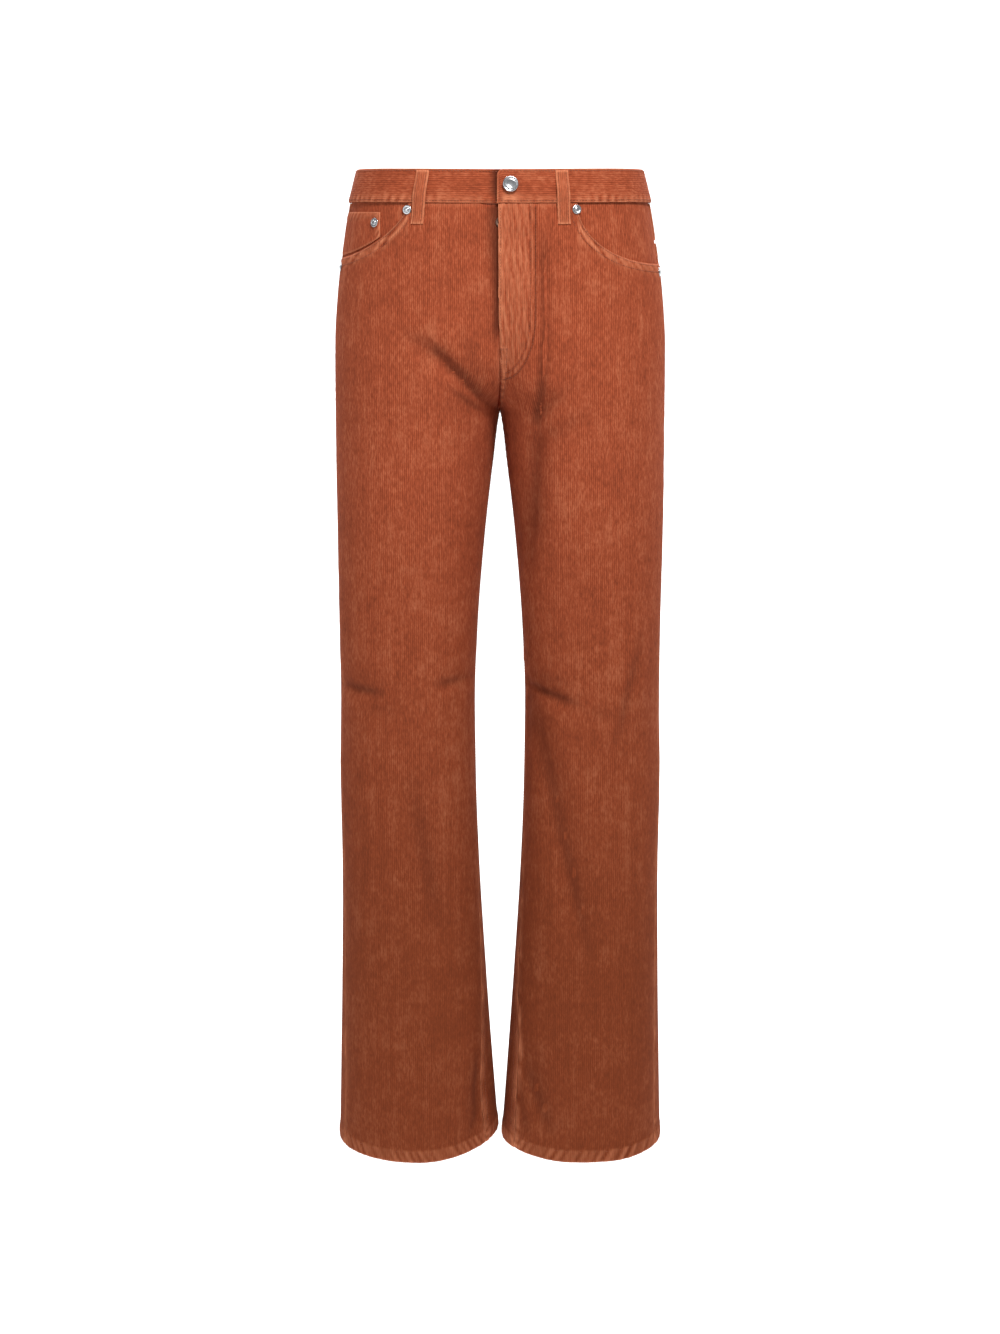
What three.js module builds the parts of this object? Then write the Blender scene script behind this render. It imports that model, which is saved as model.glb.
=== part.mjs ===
// Five-pocket corduroy trousers, filled out as they are when worn, with nobody in them.
// Millimetres. +Z is up, the front faces -Y, and +X is the wearer's left.
// The origin is the middle of the waistband's ring, where the wearer's waist holds it.
import * as THREE from "three";

const { lerp, smoothstep, degToRad } = THREE.MathUtils;

// Driving dimensions
const cloth = 1.6; // one layer of corduroy
const seamGap = 0.3; // between pieces that are sewn edge to edge
const layerGap = 0.4; // between layers that lie on each other
const bandTop = 19;
const bandBottom = -16;
const crotchHeight = -235;
const hemHeight = -1077; // at the side seams, before the hem's slope
const hemDepth = 14; // the folded hem
const hemSlope = 0.07; // the front of the hem hangs lower than the back
const hemRise = { inner: { 1: 4, [-1]: 12 }, outer: 3 }; // at the hem's inner and outer ends
const flyEdge = -1.8; // x of the free edge of the fly, which laps over from the wearer's left
const flyFoot = -160; // where the fly closes into the middle seam
const flyRecess = 4.5; // how far the cloth under the fly edge lies behind it
const bandRecess = 3.6; // how far the waistband's lower end lies behind its upper end
const sides = { left: 1, right: -1 };

// Sections of one half, from the waist down. outer and inner are how far the oval reaches from the
// middle plane: a negative inner reaches past it, where both halves share one tube. front and back
// are its depths either side of y = 0, seam is the y of the side seams, and square its exponent.
const sections = [
  { z: 19, outer: 154, inner: -154, front: 104, back: 107, seam: 0, square: 2.5 },
  { z: -16, outer: 162.5, inner: -162.5, front: 109, back: 112, seam: 0, square: 2.45 },
  { z: -60, outer: 170, inner: -170, front: 115, back: 122, seam: 1, square: 2.4 },
  { z: -110, outer: 176.5, inner: -140, front: 118, back: 130, seam: 2, square: 2.35 },
  { z: -160, outer: 180, inner: -78, front: 118, back: 132, seam: 3, square: 2.3 },
  { z: -200, outer: 180.5, inner: -32, front: 115, back: 129, seam: 4, square: 2.3 },
  { z: -235, outer: 180.6, inner: 0, front: 110, back: 122, seam: 4, square: 2.25 },
  { z: -292, outer: 180.7, inner: 8, front: 103, back: 110, seam: 4, square: 2.25 },
  { z: -380, outer: 179.6, inner: 18, front: 93, back: 97, seam: 2, square: 2.2 },
  { z: -470, outer: 178.4, inner: 25.2, front: 84, back: 85, seam: 0, square: 2.2 },
  { z: -560, outer: 178.2, inner: 28.7, front: 78, back: 76, seam: 0, square: 2.2 },
  { z: -640, outer: 179.5, inner: 27.8, front: 75, back: 74, seam: 1, square: 2.2 },
  { z: -747, outer: 178.7, inner: 23.9, front: 72, back: 77, seam: 3, square: 2.2 },
  { z: -888, outer: 180.7, inner: 15.5, front: 70, back: 82, seam: 5, square: 2.15 },
  { z: -984, outer: 183, inner: 9.2, front: 69, back: 84, seam: 6, square: 2.1 },
  { z: -1077, outer: 185.2, inner: 2.6, front: 70, back: 85, seam: 6, square: 2.05 },
];

// How far the leg's two seams swing forward round the leg, in degrees.
const seamTurns = [
  { z: -16, outseam: 0, inseam: 0 },
  { z: -160, outseam: 2, inseam: 0 },
  { z: -300, outseam: 9, inseam: 0 },
  { z: -560, outseam: 15, inseam: 2 },
  { z: -740, outseam: 18, inseam: 12 },
  { z: -984, outseam: 21, inseam: 26 },
  { z: -1077, outseam: 21, inseam: 28 },
];

// Soft folds on the front. Each runs from (x1, z1) to (x2, z2) as seen from the front. depth is
// outward, so a trough is negative, and spread is how wide it is.
const frontFolds = [
  // crotch to hip, wearer's right
  { x1: -84, z1: -158, x2: -6, z2: -226, depth: -5, spread: 9 },
  { x1: -66, z1: -138, x2: -8, z2: -196, depth: 2.5, spread: 12 },
  // beside the fly and down the inner thigh, wearer's left
  { x1: 44, z1: -52, x2: 47, z2: -150, depth: -3, spread: 7 },
  { x1: 47, z1: -140, x2: 39, z2: -232, depth: -5, spread: 9 },
  { x1: 39, z1: -225, x2: 29, z2: -400, depth: -6, spread: 11 },
  { x1: 66, z1: -180, x2: 58, z2: -380, depth: 2, spread: 16 },
  // knees
  { x1: -176, z1: -536, x2: -124, z2: -541, depth: -4, spread: 12 },
  { x1: -68, z1: -532, x2: -36, z2: -528, depth: -2.5, spread: 8 },
  { x1: 24, z1: -535, x2: 82, z2: -551, depth: -4, spread: 9 },
  { x1: 152, z1: -480, x2: 146, z2: -556, depth: 3, spread: 12 },
  { x1: 146, z1: -552, x2: 108, z2: -602, depth: 3, spread: 12 },
  // from the inner knee across the shin, wearer's left
  { x1: 30, z1: -558, x2: 64, z2: -670, depth: -5, spread: 12 },
  { x1: 62, z1: -660, x2: 106, z2: -845, depth: -5, spread: 12 },
  // lower legs
  { x1: -27, z1: -880, x2: -44, z2: -1010, depth: 2, spread: 9 },
  { x1: -24, z1: -1000, x2: -32, z2: -1058, depth: -3.5, spread: 8 },
  { x1: 28, z1: -960, x2: 58, z2: -1044, depth: -4, spread: 10 },
];

// Folds on the back, which the photograph hides: seat, back of the knee and calf.
const backFolds = [
  { x1: 30, z1: -232, x2: 118, z2: -268, depth: -4, spread: 12 },
  { x1: -26, z1: -236, x2: -108, z2: -262, depth: -5, spread: 12 },
  { x1: 40, z1: -268, x2: 128, z2: -306, depth: -3, spread: 11 },
  { x1: -46, z1: -270, x2: -122, z2: -318, depth: -3, spread: 12 },
  { x1: 46, z1: -540, x2: 150, z2: -556, depth: -4.5, spread: 12 },
  { x1: -50, z1: -548, x2: -140, z2: -536, depth: -4, spread: 12 },
  { x1: 60, z1: -590, x2: 140, z2: -600, depth: -3, spread: 11 },
  { x1: -42, z1: -586, x2: -120, z2: -606, depth: -3.5, spread: 11 },
  { x1: 70, z1: -640, x2: 96, z2: -900, depth: -4, spread: 14 },
  { x1: -112, z1: -650, x2: -78, z2: -930, depth: -4, spread: 14 },
];

// Rows of the panels: each stretch runs down to a height in a number of rows. A gather above 1
// crowds the rows at its lower end, and one below -1 at its upper end.
const panelRows = [
  { to: crotchHeight, rows: 17, gather: 1.6 },
  { to: -480, rows: 10, gather: -1.3 },
  { to: -620, rows: 9, gather: 1 },
  { to: hemHeight + hemDepth, rows: 13, gather: 1 },
  { to: hemHeight, rows: 2, gather: 1 },
];

// Each leg panel is three solids, one below the other, so that every collision piece stays close to
// the cloth. foot is where a stretch ends.
const stretches = [
  { part: "hip", foot: -300 },
  { part: "knee", foot: -660 },
  { part: "ankle", foot: hemHeight },
];

// Front pockets: where the scoop leaves the waistband and meets the outer seam, and how round it is.
const scoops = {
  left: { x: 81, drop: 64, roundness: 2 },
  right: { x: 96, drop: 58, roundness: 1.5 },
};
const coinPocket = { x: 127, top: -26, foot: -76 };
const facingLap = 12; // how far a pocket facing reaches below the scoop, behind the front

// Back pockets and yoke, as seen from behind.
const yokeSide = -54;
const yokeMiddle = -88;
const backPocket = { inner: 40, outer: 134, top: -112, side: -222, point: -244 };

// Belt loops: x at the top and the bottom end, and the face that each is sewn to.
const loops = [
  { name: "belt_loop_front_left", side: 1, face: "front", top: 64, bottom: 67 },
  { name: "belt_loop_front_right", side: -1, face: "front", top: 80, bottom: 86.5 },
  { name: "belt_loop_back_left", side: 1, face: "back", top: 112, bottom: 114 },
  { name: "belt_loop_back_right", side: -1, face: "back", top: 112, bottom: 114 },
  { name: "belt_loop_middle_back", side: 1, face: "back", top: 0, bottom: 0 },
];
const loopWidth = 13;
const loopTop = 17;
const loopBottom = -38;
const loopBulge = 2.6; // how far a loop stands off the waistband halfway down

const bandOut = 1.2; // the waistband's outer face, in front of the panels
const bandIn = 1.6; // its inner face, behind them

const colours = { corduroy: 0xa5502f, worn: 0xb4603c, steel: 0xb9bcc0 };

// A smooth curve through one column of a table, with no overshoot between its rows.
function columnCurve(table, key) {
  const rows = [...table].sort((a, b) => a.z - b.z);
  const gap = rows.slice(1).map((row, i) => row.z - rows[i].z);
  const rise = rows.slice(1).map((row, i) => (row[key] - rows[i][key]) / gap[i]);
  const slope = rows.map((_, i) => {
    if (i === 0) return rise[0];
    if (i === rows.length - 1) return rise[i - 1];
    if (rise[i - 1] * rise[i] <= 0) return 0;
    return (2 * rise[i - 1] * rise[i]) / (rise[i - 1] + rise[i]);
  });
  return (z) => {
    let i = rows.findIndex((row) => row.z > z) - 1;
    if (i < 0) i = z < rows[0].z ? 0 : rows.length - 2;
    const t = THREE.MathUtils.clamp((z - rows[i].z) / gap[i], 0, 1);
    const t2 = t * t;
    const t3 = t2 * t;
    return (
      (2 * t3 - 3 * t2 + 1) * rows[i][key] +
      (t3 - 2 * t2 + t) * gap[i] * slope[i] +
      (3 * t2 - 2 * t3) * rows[i + 1][key] +
      (t3 - t2) * gap[i] * slope[i + 1]
    );
  };
}

const curve = Object.fromEntries(
  ["outer", "inner", "front", "back", "seam", "square"].map((key) => [
    key,
    columnCurve(sections, key),
  ]),
);

// The inner edge of the oval. Below the crotch the legs stay a seam's gap apart.
function innerReach(z) {
  const reach = curve.inner(z);
  return z > crotchHeight ? Math.min(reach, seamGap / 2) : Math.max(reach, seamGap / 2);
}

// A point of the oval at a height, before folds. The angle is 0 at the outer side, a quarter turn at
// the front and a half turn at the inner side. x is counted outward from the middle plane.
function ovalPoint(angle, z) {
  const outer = curve.outer(z);
  const inner = innerReach(z);
  const across = (outer - inner) / 2;
  const seam = curve.seam(z);
  const cos = Math.cos(angle);
  const sin = Math.sin(angle);
  const deep = sin > 0 ? curve.front(z) + seam : curve.back(z) - seam;
  const power = curve.square(z);
  const radius =
    (Math.abs(cos / across) ** power + Math.abs(sin / deep) ** power) ** (-1 / power);
  return new THREE.Vector3((outer + inner) / 2 + radius * cos, seam - radius * sin, z);
}

// How far one soft fold moves a point outward.
function foldAt(fold, x, z) {
  const dx = fold.x2 - fold.x1;
  const dz = fold.z2 - fold.z1;
  const length = Math.hypot(dx, dz);
  const along = ((x - fold.x1) * dx + (z - fold.z1) * dz) / length;
  const aside = ((x - fold.x1) * dz - (z - fold.z1) * dx) / length;
  const past = Math.max(0, -along, along - length);
  const inside = Math.min(along, length - along) / length;
  const taper = past > 0 ? 0.45 : 0.45 + 0.55 * smoothstep(inside, 0, 0.3);
  return fold.depth * taper * Math.exp(-(aside ** 2 + past ** 2) / (2 * fold.spread ** 2));
}

// How far the wearer's right front lies back where the fly laps over it.
function recessAt(x, z) {
  const across = 1 - smoothstep(Math.abs(x), 8, 26);
  const down = smoothstep(z, -186, flyFoot) * 0.55 + smoothstep(z, flyFoot, -100) * 0.45;
  return flyRecess * across * down;
}

// The whole relief at a point of the oval: folds, and the recess beside the fly.
function reliefAt(side, angle, point) {
  const facing = Math.sin(angle);
  const x = side * point.x;
  let relief = 0;
  for (const fold of facing > 0 ? frontFolds : backFolds) {
    if (Math.sign(fold.x1) === side) relief += foldAt(fold, x, point.z);
  }
  relief *= smoothstep(Math.abs(facing), 0, 0.3);
  if (side === sides.right && facing > 0) relief -= recessAt(x, point.z);
  return relief;
}

// The waist rides up a little towards the sides and the back, and the hem slopes down to the front.
function settle(side, angle, point) {
  const waist = smoothstep(point.z, -150, 0);
  const waistRise = 2.5 * (point.x / 155) ** 2 + 6 * smoothstep(point.y, 0, 110);
  const hem = 1 - smoothstep(point.z, hemHeight, -880);
  const across = Math.cos(angle);
  const endRise = across > 0 ? hemRise.outer : hemRise.inner[side];
  point.z += waist * waistRise + hem * (hemSlope * point.y + endRise * across ** 2);
  return point;
}

// A point of the cloth's outer face, counted outward from the middle plane.
function clothPoint(side, angle, z) {
  const point = ovalPoint(angle, z);
  const step = 0.01;
  const ahead = ovalPoint(angle + step, z).sub(ovalPoint(angle - step, z));
  const outward = new THREE.Vector3(-ahead.y, ahead.x, 0).normalize();
  point.addScaledVector(outward, reliefAt(side, angle, point));
  return settle(side, angle, point);
}

// The same point moved out from the cloth by an offset, and mirrored to its side. A level offset
// keeps its height.
function surface(side, angle, z, offset = 0, level = false) {
  const point = clothPoint(side, angle, z);
  const turn = 0.02;
  const drop = 1.5;
  const round = clothPoint(side, angle + turn, z).sub(clothPoint(side, angle - turn, z));
  const down = clothPoint(side, angle, z - drop).sub(clothPoint(side, angle, z + drop));
  const outward = round.cross(down);
  if (level) outward.z = 0;
  point.addScaledVector(outward.normalize(), offset);
  point.x *= side;
  return point;
}

// The angle on the front or the back at which the oval is a distance x from the middle plane.
function angleAtX(face, x, z) {
  let near = 0;
  let far = Math.PI;
  for (let i = 0; i < 40; i++) {
    const middle = (near + far) / 2;
    const angle = face === "front" ? middle : -middle;
    if (ovalPoint(angle, z).x > x) near = middle;
    else far = middle;
  }
  return face === "front" ? near : -near;
}

const outseamDegrees = columnCurve(seamTurns, "outseam");
const inseamDegrees = columnCurve(seamTurns, "inseam");

// The angle at a share of the way from the outer seam to a panel's inner edge, which is the middle
// plane above the crotch and the inner seam below it. edge is the x of that edge above the crotch.
// Only the columns next to the edge follow its quick turn at the crotch.
function panelAngle(face, share, z, edge = seamGap / 2) {
  const trim = seamGap / 2 / 100;
  const facing = face === "front" ? 1 : -1;
  const out = degToRad(outseamDegrees(z)) + facing * trim;
  let inn = facing * (Math.PI - trim) - degToRad(inseamDegrees(z));
  if (z > crotchHeight) inn = angleAtX(face, edge, z);
  const calm = (facing * Math.PI * (1 + smoothstep(-z, 60, 330))) / 2;
  return lerp(out, calm, share) + (inn - calm) * share ** 4;
}

const spread = (count, at) => Array.from({ length: count + 1 }, (_, i) => at(i / count));

// A closed wall between an outer and an inner sheet of points with the same rows and columns.
function wall(outer, inner) {
  const rows = outer.length;
  const columns = outer[0].length;
  const points = [...outer.flat(), ...inner.flat()];
  const back = rows * columns;
  const index = [];
  const quad = (a, b, c, d) => index.push(a, b, c, a, c, d);
  const at = (row, column) => row * columns + column;
  for (let r = 0; r < rows - 1; r++) {
    for (let c = 0; c < columns - 1; c++) {
      const [a, b, d, e] = [at(r, c), at(r, c + 1), at(r + 1, c), at(r + 1, c + 1)];
      quad(a, d, e, b);
      quad(back + a, back + b, back + e, back + d);
    }
  }
  for (let c = 0; c < columns - 1; c++) {
    const last = rows - 1;
    quad(at(0, c), at(0, c + 1), back + at(0, c + 1), back + at(0, c));
    quad(at(last, c + 1), at(last, c), back + at(last, c), back + at(last, c + 1));
  }
  for (let r = 0; r < rows - 1; r++) {
    const last = columns - 1;
    quad(at(r + 1, 0), at(r, 0), back + at(r, 0), back + at(r + 1, 0));
    quad(at(r, last), at(r + 1, last), back + at(r + 1, last), back + at(r, last));
  }
  return facingOut(points, index);
}

// A geometry from points and triangles, turned round if its faces point in.
function facingOut(points, index) {
  let volume = 0;
  for (let i = 0; i < index.length; i += 3) {
    const [a, b, c] = [points[index[i]], points[index[i + 1]], points[index[i + 2]]];
    volume += a.dot(new THREE.Vector3().crossVectors(b, c));
  }
  if (volume < 0) index.reverse();
  const geometry = new THREE.BufferGeometry().setFromPoints(points);
  geometry.setIndex(index);
  return geometry;
}

const trousers = new THREE.Group();

function add(name, geometry, colour, metalness = 0) {
  const roughness = metalness ? 0.25 : 0.9;
  const material = new THREE.MeshStandardMaterial({ color: colour, roughness, metalness });
  const mesh = new THREE.Mesh(geometry, material);
  mesh.name = name;
  trousers.add(mesh);
}

// Heights of the panel rows from a top to the hem.
function rowHeights(top) {
  const heights = [top];
  let from = top;
  for (const { to, rows, gather } of panelRows) {
    for (let i = 1; i <= rows; i++) {
      const t = i / rows;
      heights.push(lerp(from, to, gather > 0 ? 1 - (1 - t) ** gather : t ** -gather));
    }
    from = to;
  }
  return heights;
}

// Where a row of a panel lies when its top edge dips to topEdge: the rows below even the dip out.
function easedHeight(height, top, topEdge) {
  const level = -150;
  if (height < level) return height;
  return lerp(topEdge, level, (top - height) / (top - level));
}

// The row heights of each stretch of a leg panel, which start a gap below the stretch above.
function stretchHeights(top) {
  const rows = rowHeights(top);
  let head = top;
  return stretches.map(({ part, foot }) => {
    const between = rows.filter((z) => z < head - 2 && z > foot + 2);
    const heights = [head, ...between, foot];
    head = foot - seamGap;
    return { part, heights };
  });
}

// A leg panel, folded up at the hem into three layers.
function panel(name, { side, face, columns, topEdge, edgeAt }) {
  const top = bandBottom - seamGap;
  for (const { part, heights } of stretchHeights(top)) {
    const outer = [];
    const inner = [];
    for (const height of heights) {
      const folded = height < hemHeight + hemDepth - 1;
      const place = (share, offset) => {
        const z = easedHeight(height, top, topEdge(share));
        return surface(side, panelAngle(face, share, z, edgeAt(z)), z, offset);
      };
      outer.push(columns.map((share) => place(share, folded ? 0.7 : 0)));
      inner.push(columns.map((share) => place(share, folded ? -cloth * 2 : -cloth)));
    }
    add(`${name}_${part}`, wall(outer, inner), colours.corduroy);
  }
}

// The height of a front pocket's scooped edge at a distance x from the middle plane.
function scoopHeight(name, x) {
  const { x: start, drop, roundness } = scoops[name];
  const share = THREE.MathUtils.clamp((x - start) / (175 - start), 0, 1);
  const round = (1 - (1 - share) ** roundness) ** (1 / roundness);
  return bandBottom - seamGap - drop * round;
}

function shareAtX(face, x, z) {
  return angleAtX(face, x, z) / panelAngle(face, 1, z);
}

// Columns of a front panel. They crowd where the pocket's scoop is steep.
function frontColumns(name) {
  const start = shareAtX("front", scoops[name].x, bandBottom);
  return [
    ...spread(7, (t) => start * Math.sin((t * Math.PI) / 2)),
    ...spread(8, (t) => lerp(start, 1, t)).slice(1),
  ];
}

function front(name) {
  const side = sides[name];
  const columns = frontColumns(name);
  const start = columns[7];
  const topEdge = (share) =>
    share >= start
      ? bandBottom - seamGap
      : scoopHeight(name, ovalPoint(panelAngle("front", share, -50), -50).x);
  const lap = (z) => lerp(seamGap / 2, flyEdge, smoothstep(z, flyFoot, -130));
  const edgeAt = side === sides.left ? lap : () => seamGap / 2;
  panel(`front_${name}`, { side, face: "front", columns, topEdge, edgeAt });
}

const yokeSeam = (share) => lerp(yokeSide, yokeMiddle, share);

function back(name) {
  const columns = spread(11, (t) => t);
  const topEdge = (share) => yokeSeam(share) - seamGap;
  const edgeAt = () => seamGap / 2;
  panel(`back_${name}`, { side: sides[name], face: "back", columns, topEdge, edgeAt });
}

// A piece of cloth over a patch of one face: shares across and down, and the offsets of its faces.
function patch({ side, face, across, down, angleAt, heightAt, outside, inside }) {
  const sheet = (offset) =>
    spread(down, (v) =>
      spread(across, (u) => {
        const z = heightAt(u, v);
        return surface(side, angleAt(u, z, face), z, offset(u, v));
      }),
    );
  return wall(sheet(outside), sheet(inside));
}

function yoke(name) {
  const geometry = patch({
    side: sides[name],
    face: "back",
    across: 11,
    down: 3,
    angleAt: (u, z) => panelAngle("back", u, z),
    heightAt: (u, v) => lerp(bandBottom - seamGap, yokeSeam(u), v),
    outside: () => 0,
    inside: () => -cloth,
  });
  add(`yoke_${name}`, geometry, colours.corduroy);
}

// The cloth that shows in the mouth of a front pocket, sewn in behind the front.
function pocketFacing(name) {
  const top = bandBottom - seamGap;
  const columns = frontColumns(name).slice(0, 9);
  const geometry = patch({
    side: sides[name],
    face: "front",
    across: 8,
    down: 4,
    angleAt: (u, z) => panelAngle("front", columns[Math.round(u * 8)], z),
    heightAt: (u, v) => lerp(top, top - scoops[name].drop - facingLap, v),
    outside: () => -cloth - layerGap * 1.5,
    inside: () => -cloth * 2 - layerGap,
  });
  add(`pocket_facing_${name}`, geometry, colours.corduroy);
}

// The small pocket on the wearer's right facing. The scoop's edge hides its foot.
function coinPocketPiece() {
  const { x, top, foot } = coinPocket;
  const clear = 2.5;
  const angleAt = (u, z) => lerp(panelAngle("front", 0, z), angleAtX("front", x, z), u);
  const heightAt = (u, v) => {
    const edge = scoopHeight("right", ovalPoint(angleAt(u, -50), -50).x);
    return lerp(top, Math.max(foot, edge + clear), v);
  };
  const geometry = patch({
    side: sides.right,
    face: "front",
    across: 6,
    down: 4,
    angleAt,
    heightAt,
    outside: () => -0.2,
    inside: () => -cloth,
  });
  add("coin_pocket", geometry, colours.corduroy);
}

// The extension of the wearer's right front that lies under the fly.
function flyUnderlap() {
  const reach = 30;
  const top = bandBottom - 2 * seamGap;
  const geometry = patch({
    side: sides.left,
    face: "front",
    across: 3,
    down: 10,
    angleAt: (u, z) => lerp(angleAtX("front", seamGap / 2, z), angleAtX("front", reach, z), u),
    heightAt: (u, v) => lerp(top, flyFoot, v),
    outside: (u, v) => -recessAt(0, lerp(top, flyFoot, v)),
    inside: (u, v) => -recessAt(0, lerp(top, flyFoot, v)) - cloth,
  });
  add("fly_underlap", geometry, colours.corduroy);
}

// A patch pocket on the seat, with a straight mouth and a pointed foot.
function backPocketPiece(name) {
  const { inner, outer, top, side, point } = backPocket;
  const geometry = patch({
    side: sides[name],
    face: "back",
    across: 8,
    down: 6,
    angleAt: (u, z) => {
      const narrowing = smoothstep(z, top, point) * 5;
      return angleAtX("back", lerp(inner + narrowing, outer - narrowing, u), z);
    },
    heightAt: (u, v) => lerp(top, lerp(point, side, Math.abs(2 * u - 1)), v),
    outside: () => cloth + layerGap * 2,
    inside: () => layerGap * 2,
  });
  add(`back_pocket_${name}`, geometry, colours.corduroy);
}

// The waistband is one folded strip. It starts under the fly, runs round the wearer's right and the
// back, and ends lapped over its own start.
function waistband() {
  const start = angleAtX("front", 28, 0);
  const end = angleAtX("front", flyEdge - 1.5, 0) + 2 * Math.PI;
  const steps = 60;
  const height = bandTop - bandBottom;
  const profile = [
    { offset: bandOut, z: bandBottom },
    { offset: bandOut, z: bandBottom + height * 0.5 },
    { offset: bandOut, z: bandTop - 1.4 },
    { offset: bandOut - 0.8, z: bandTop },
    { offset: 0.8 - bandIn, z: bandTop },
    { offset: -bandIn, z: bandTop - 1.4 },
    { offset: -bandIn, z: bandBottom + height * 0.5 },
    { offset: -bandIn, z: bandBottom },
  ];
  const tucked = (t) => -bandRecess * (1 - smoothstep(lerp(start, end, t), Math.PI / 2, 1.86));
  const rings = spread(steps, (t) =>
    profile.map(({ offset, z }) =>
      surface(sides.left, lerp(start, end, t), z, offset + tucked(t), true),
    ),
  );
  const count = profile.length;
  const index = [];
  for (let r = 0; r < steps; r++) {
    for (let c = 0; c < count; c++) {
      const next = (c + 1) % count;
      const [a, b] = [r * count + c, r * count + next];
      index.push(a, b, b + count, a, b + count, a + count);
    }
  }
  for (let c = 1; c < count - 1; c++) {
    index.push(0, c + 1, c);
    index.push(steps * count, steps * count + c, steps * count + c + 1);
  }
  add("waistband", facingOut(rings.flat(), index), colours.corduroy);
}

// A belt loop: a folded strap, sewn down at both ends, that stands off the waistband between them.
function beltLoop({ name, side, face, top, bottom }) {
  const thick = 1.8;
  const rest = (v) => lerp(bandOut, 0, smoothstep(v, 0.72, 0.84)) + layerGap;
  const stand = (v) => rest(v) + loopBulge * Math.sin(Math.PI * smoothstep(v, 0.05, 0.8));
  const geometry = patch({
    side,
    face,
    across: 2,
    down: 10,
    angleAt: (u, z) => {
      const v = (loopTop - z) / (loopTop - loopBottom);
      return angleAtX(face, lerp(top, bottom, v) + (u - 0.5) * loopWidth, z);
    },
    heightAt: (u, v) => lerp(loopTop, loopBottom, v),
    outside: (u, v) => stand(v) + thick,
    inside: (u, v) => stand(v),
  });
  add(name, geometry, colours.worn);
}

// A round fitting turned about its own axis and set on the cloth. Its profile is radius and height.
function fitting(name, { side, x, z, offset, segments, profile }) {
  const angle = angleAtX("front", x, z);
  const foot = surface(side, angle, z, offset);
  const outward = surface(side, angle, z, offset + 10).sub(foot).normalize();
  const outline = profile.map(([radius, height]) => new THREE.Vector2(radius, height));
  const geometry = new THREE.LatheGeometry(outline, segments);
  geometry.applyQuaternion(
    new THREE.Quaternion().setFromUnitVectors(new THREE.Vector3(0, 1, 0), outward),
  );
  geometry.translate(foot.x, foot.y, foot.z);
  add(name, geometry, colours.steel, 1);
}

const rivetProfile = [
  [0, 0],
  [4.2, 0],
  [4.9, 0.5],
  [4.5, 1.1],
  [2, 1.5],
  [0, 1.5],
];
const buttonProfile = [
  [0, 0],
  [4, 0],
  [4, 2],
  [7.4, 2.2],
  [8.2, 3],
  [7.8, 3.8],
  [6.2, 4.1],
  [0, 3.7],
];
const flyButtonProfile = [
  [0, 0],
  [5.6, 0],
  [6.2, 0.6],
  [6, 1.6],
  [0, 1.9],
];

function hardware() {
  const rivet = { segments: 14, profile: rivetProfile };
  const onCloth = layerGap;
  const { left, right } = sides;
  const rivets = [
    { name: "rivet_front_left", side: left, x: 80, z: -23, offset: onCloth },
    { name: "rivet_front_right", side: right, x: 97, z: -23.5, offset: onCloth },
    { name: "rivet_side_left", side: left, x: 171, z: -88, offset: onCloth },
    { name: "rivet_side_right", side: right, x: 171, z: -83, offset: onCloth },
    { name: "rivet_coin", side: right, x: 132, z: -37, offset: onCloth },
  ];
  for (const { name, ...place } of rivets) fitting(name, { ...rivet, ...place });
  fitting("waist_button", {
    side: left,
    x: 11,
    z: 3,
    offset: bandOut + layerGap,
    segments: 24,
    profile: buttonProfile,
  });
  fitting("fly_button", {
    side: left,
    x: 1.5,
    z: -35,
    offset: layerGap - flyRecess,
    segments: 16,
    profile: flyButtonProfile,
  });
}

for (const name of Object.keys(sides)) {
  front(name);
  back(name);
  yoke(name);
  pocketFacing(name);
  backPocketPiece(name);
}
coinPocketPiece();
flyUnderlap();
waistband();
for (const loop of loops) beltLoop(loop);
hardware();

export default trousers;
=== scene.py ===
import math

import bpy
import numpy as np
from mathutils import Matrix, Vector


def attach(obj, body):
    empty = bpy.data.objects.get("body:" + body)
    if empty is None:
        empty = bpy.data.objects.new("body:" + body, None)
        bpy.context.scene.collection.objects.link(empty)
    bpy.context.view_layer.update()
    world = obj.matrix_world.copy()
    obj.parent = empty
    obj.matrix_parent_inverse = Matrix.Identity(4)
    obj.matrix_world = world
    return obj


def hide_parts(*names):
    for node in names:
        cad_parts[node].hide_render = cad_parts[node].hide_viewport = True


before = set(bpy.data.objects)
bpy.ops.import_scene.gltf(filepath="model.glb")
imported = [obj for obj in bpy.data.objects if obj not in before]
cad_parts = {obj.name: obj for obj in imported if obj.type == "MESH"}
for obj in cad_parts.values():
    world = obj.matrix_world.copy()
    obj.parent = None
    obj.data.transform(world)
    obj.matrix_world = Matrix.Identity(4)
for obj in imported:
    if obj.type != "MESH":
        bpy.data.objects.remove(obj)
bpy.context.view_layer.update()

MM = 0.001
LEFT, RIGHT = 1, -1
SIDE_NAMES = {LEFT: "left", RIGHT: "right"}
FRONT, BACK = 1, -1

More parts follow.
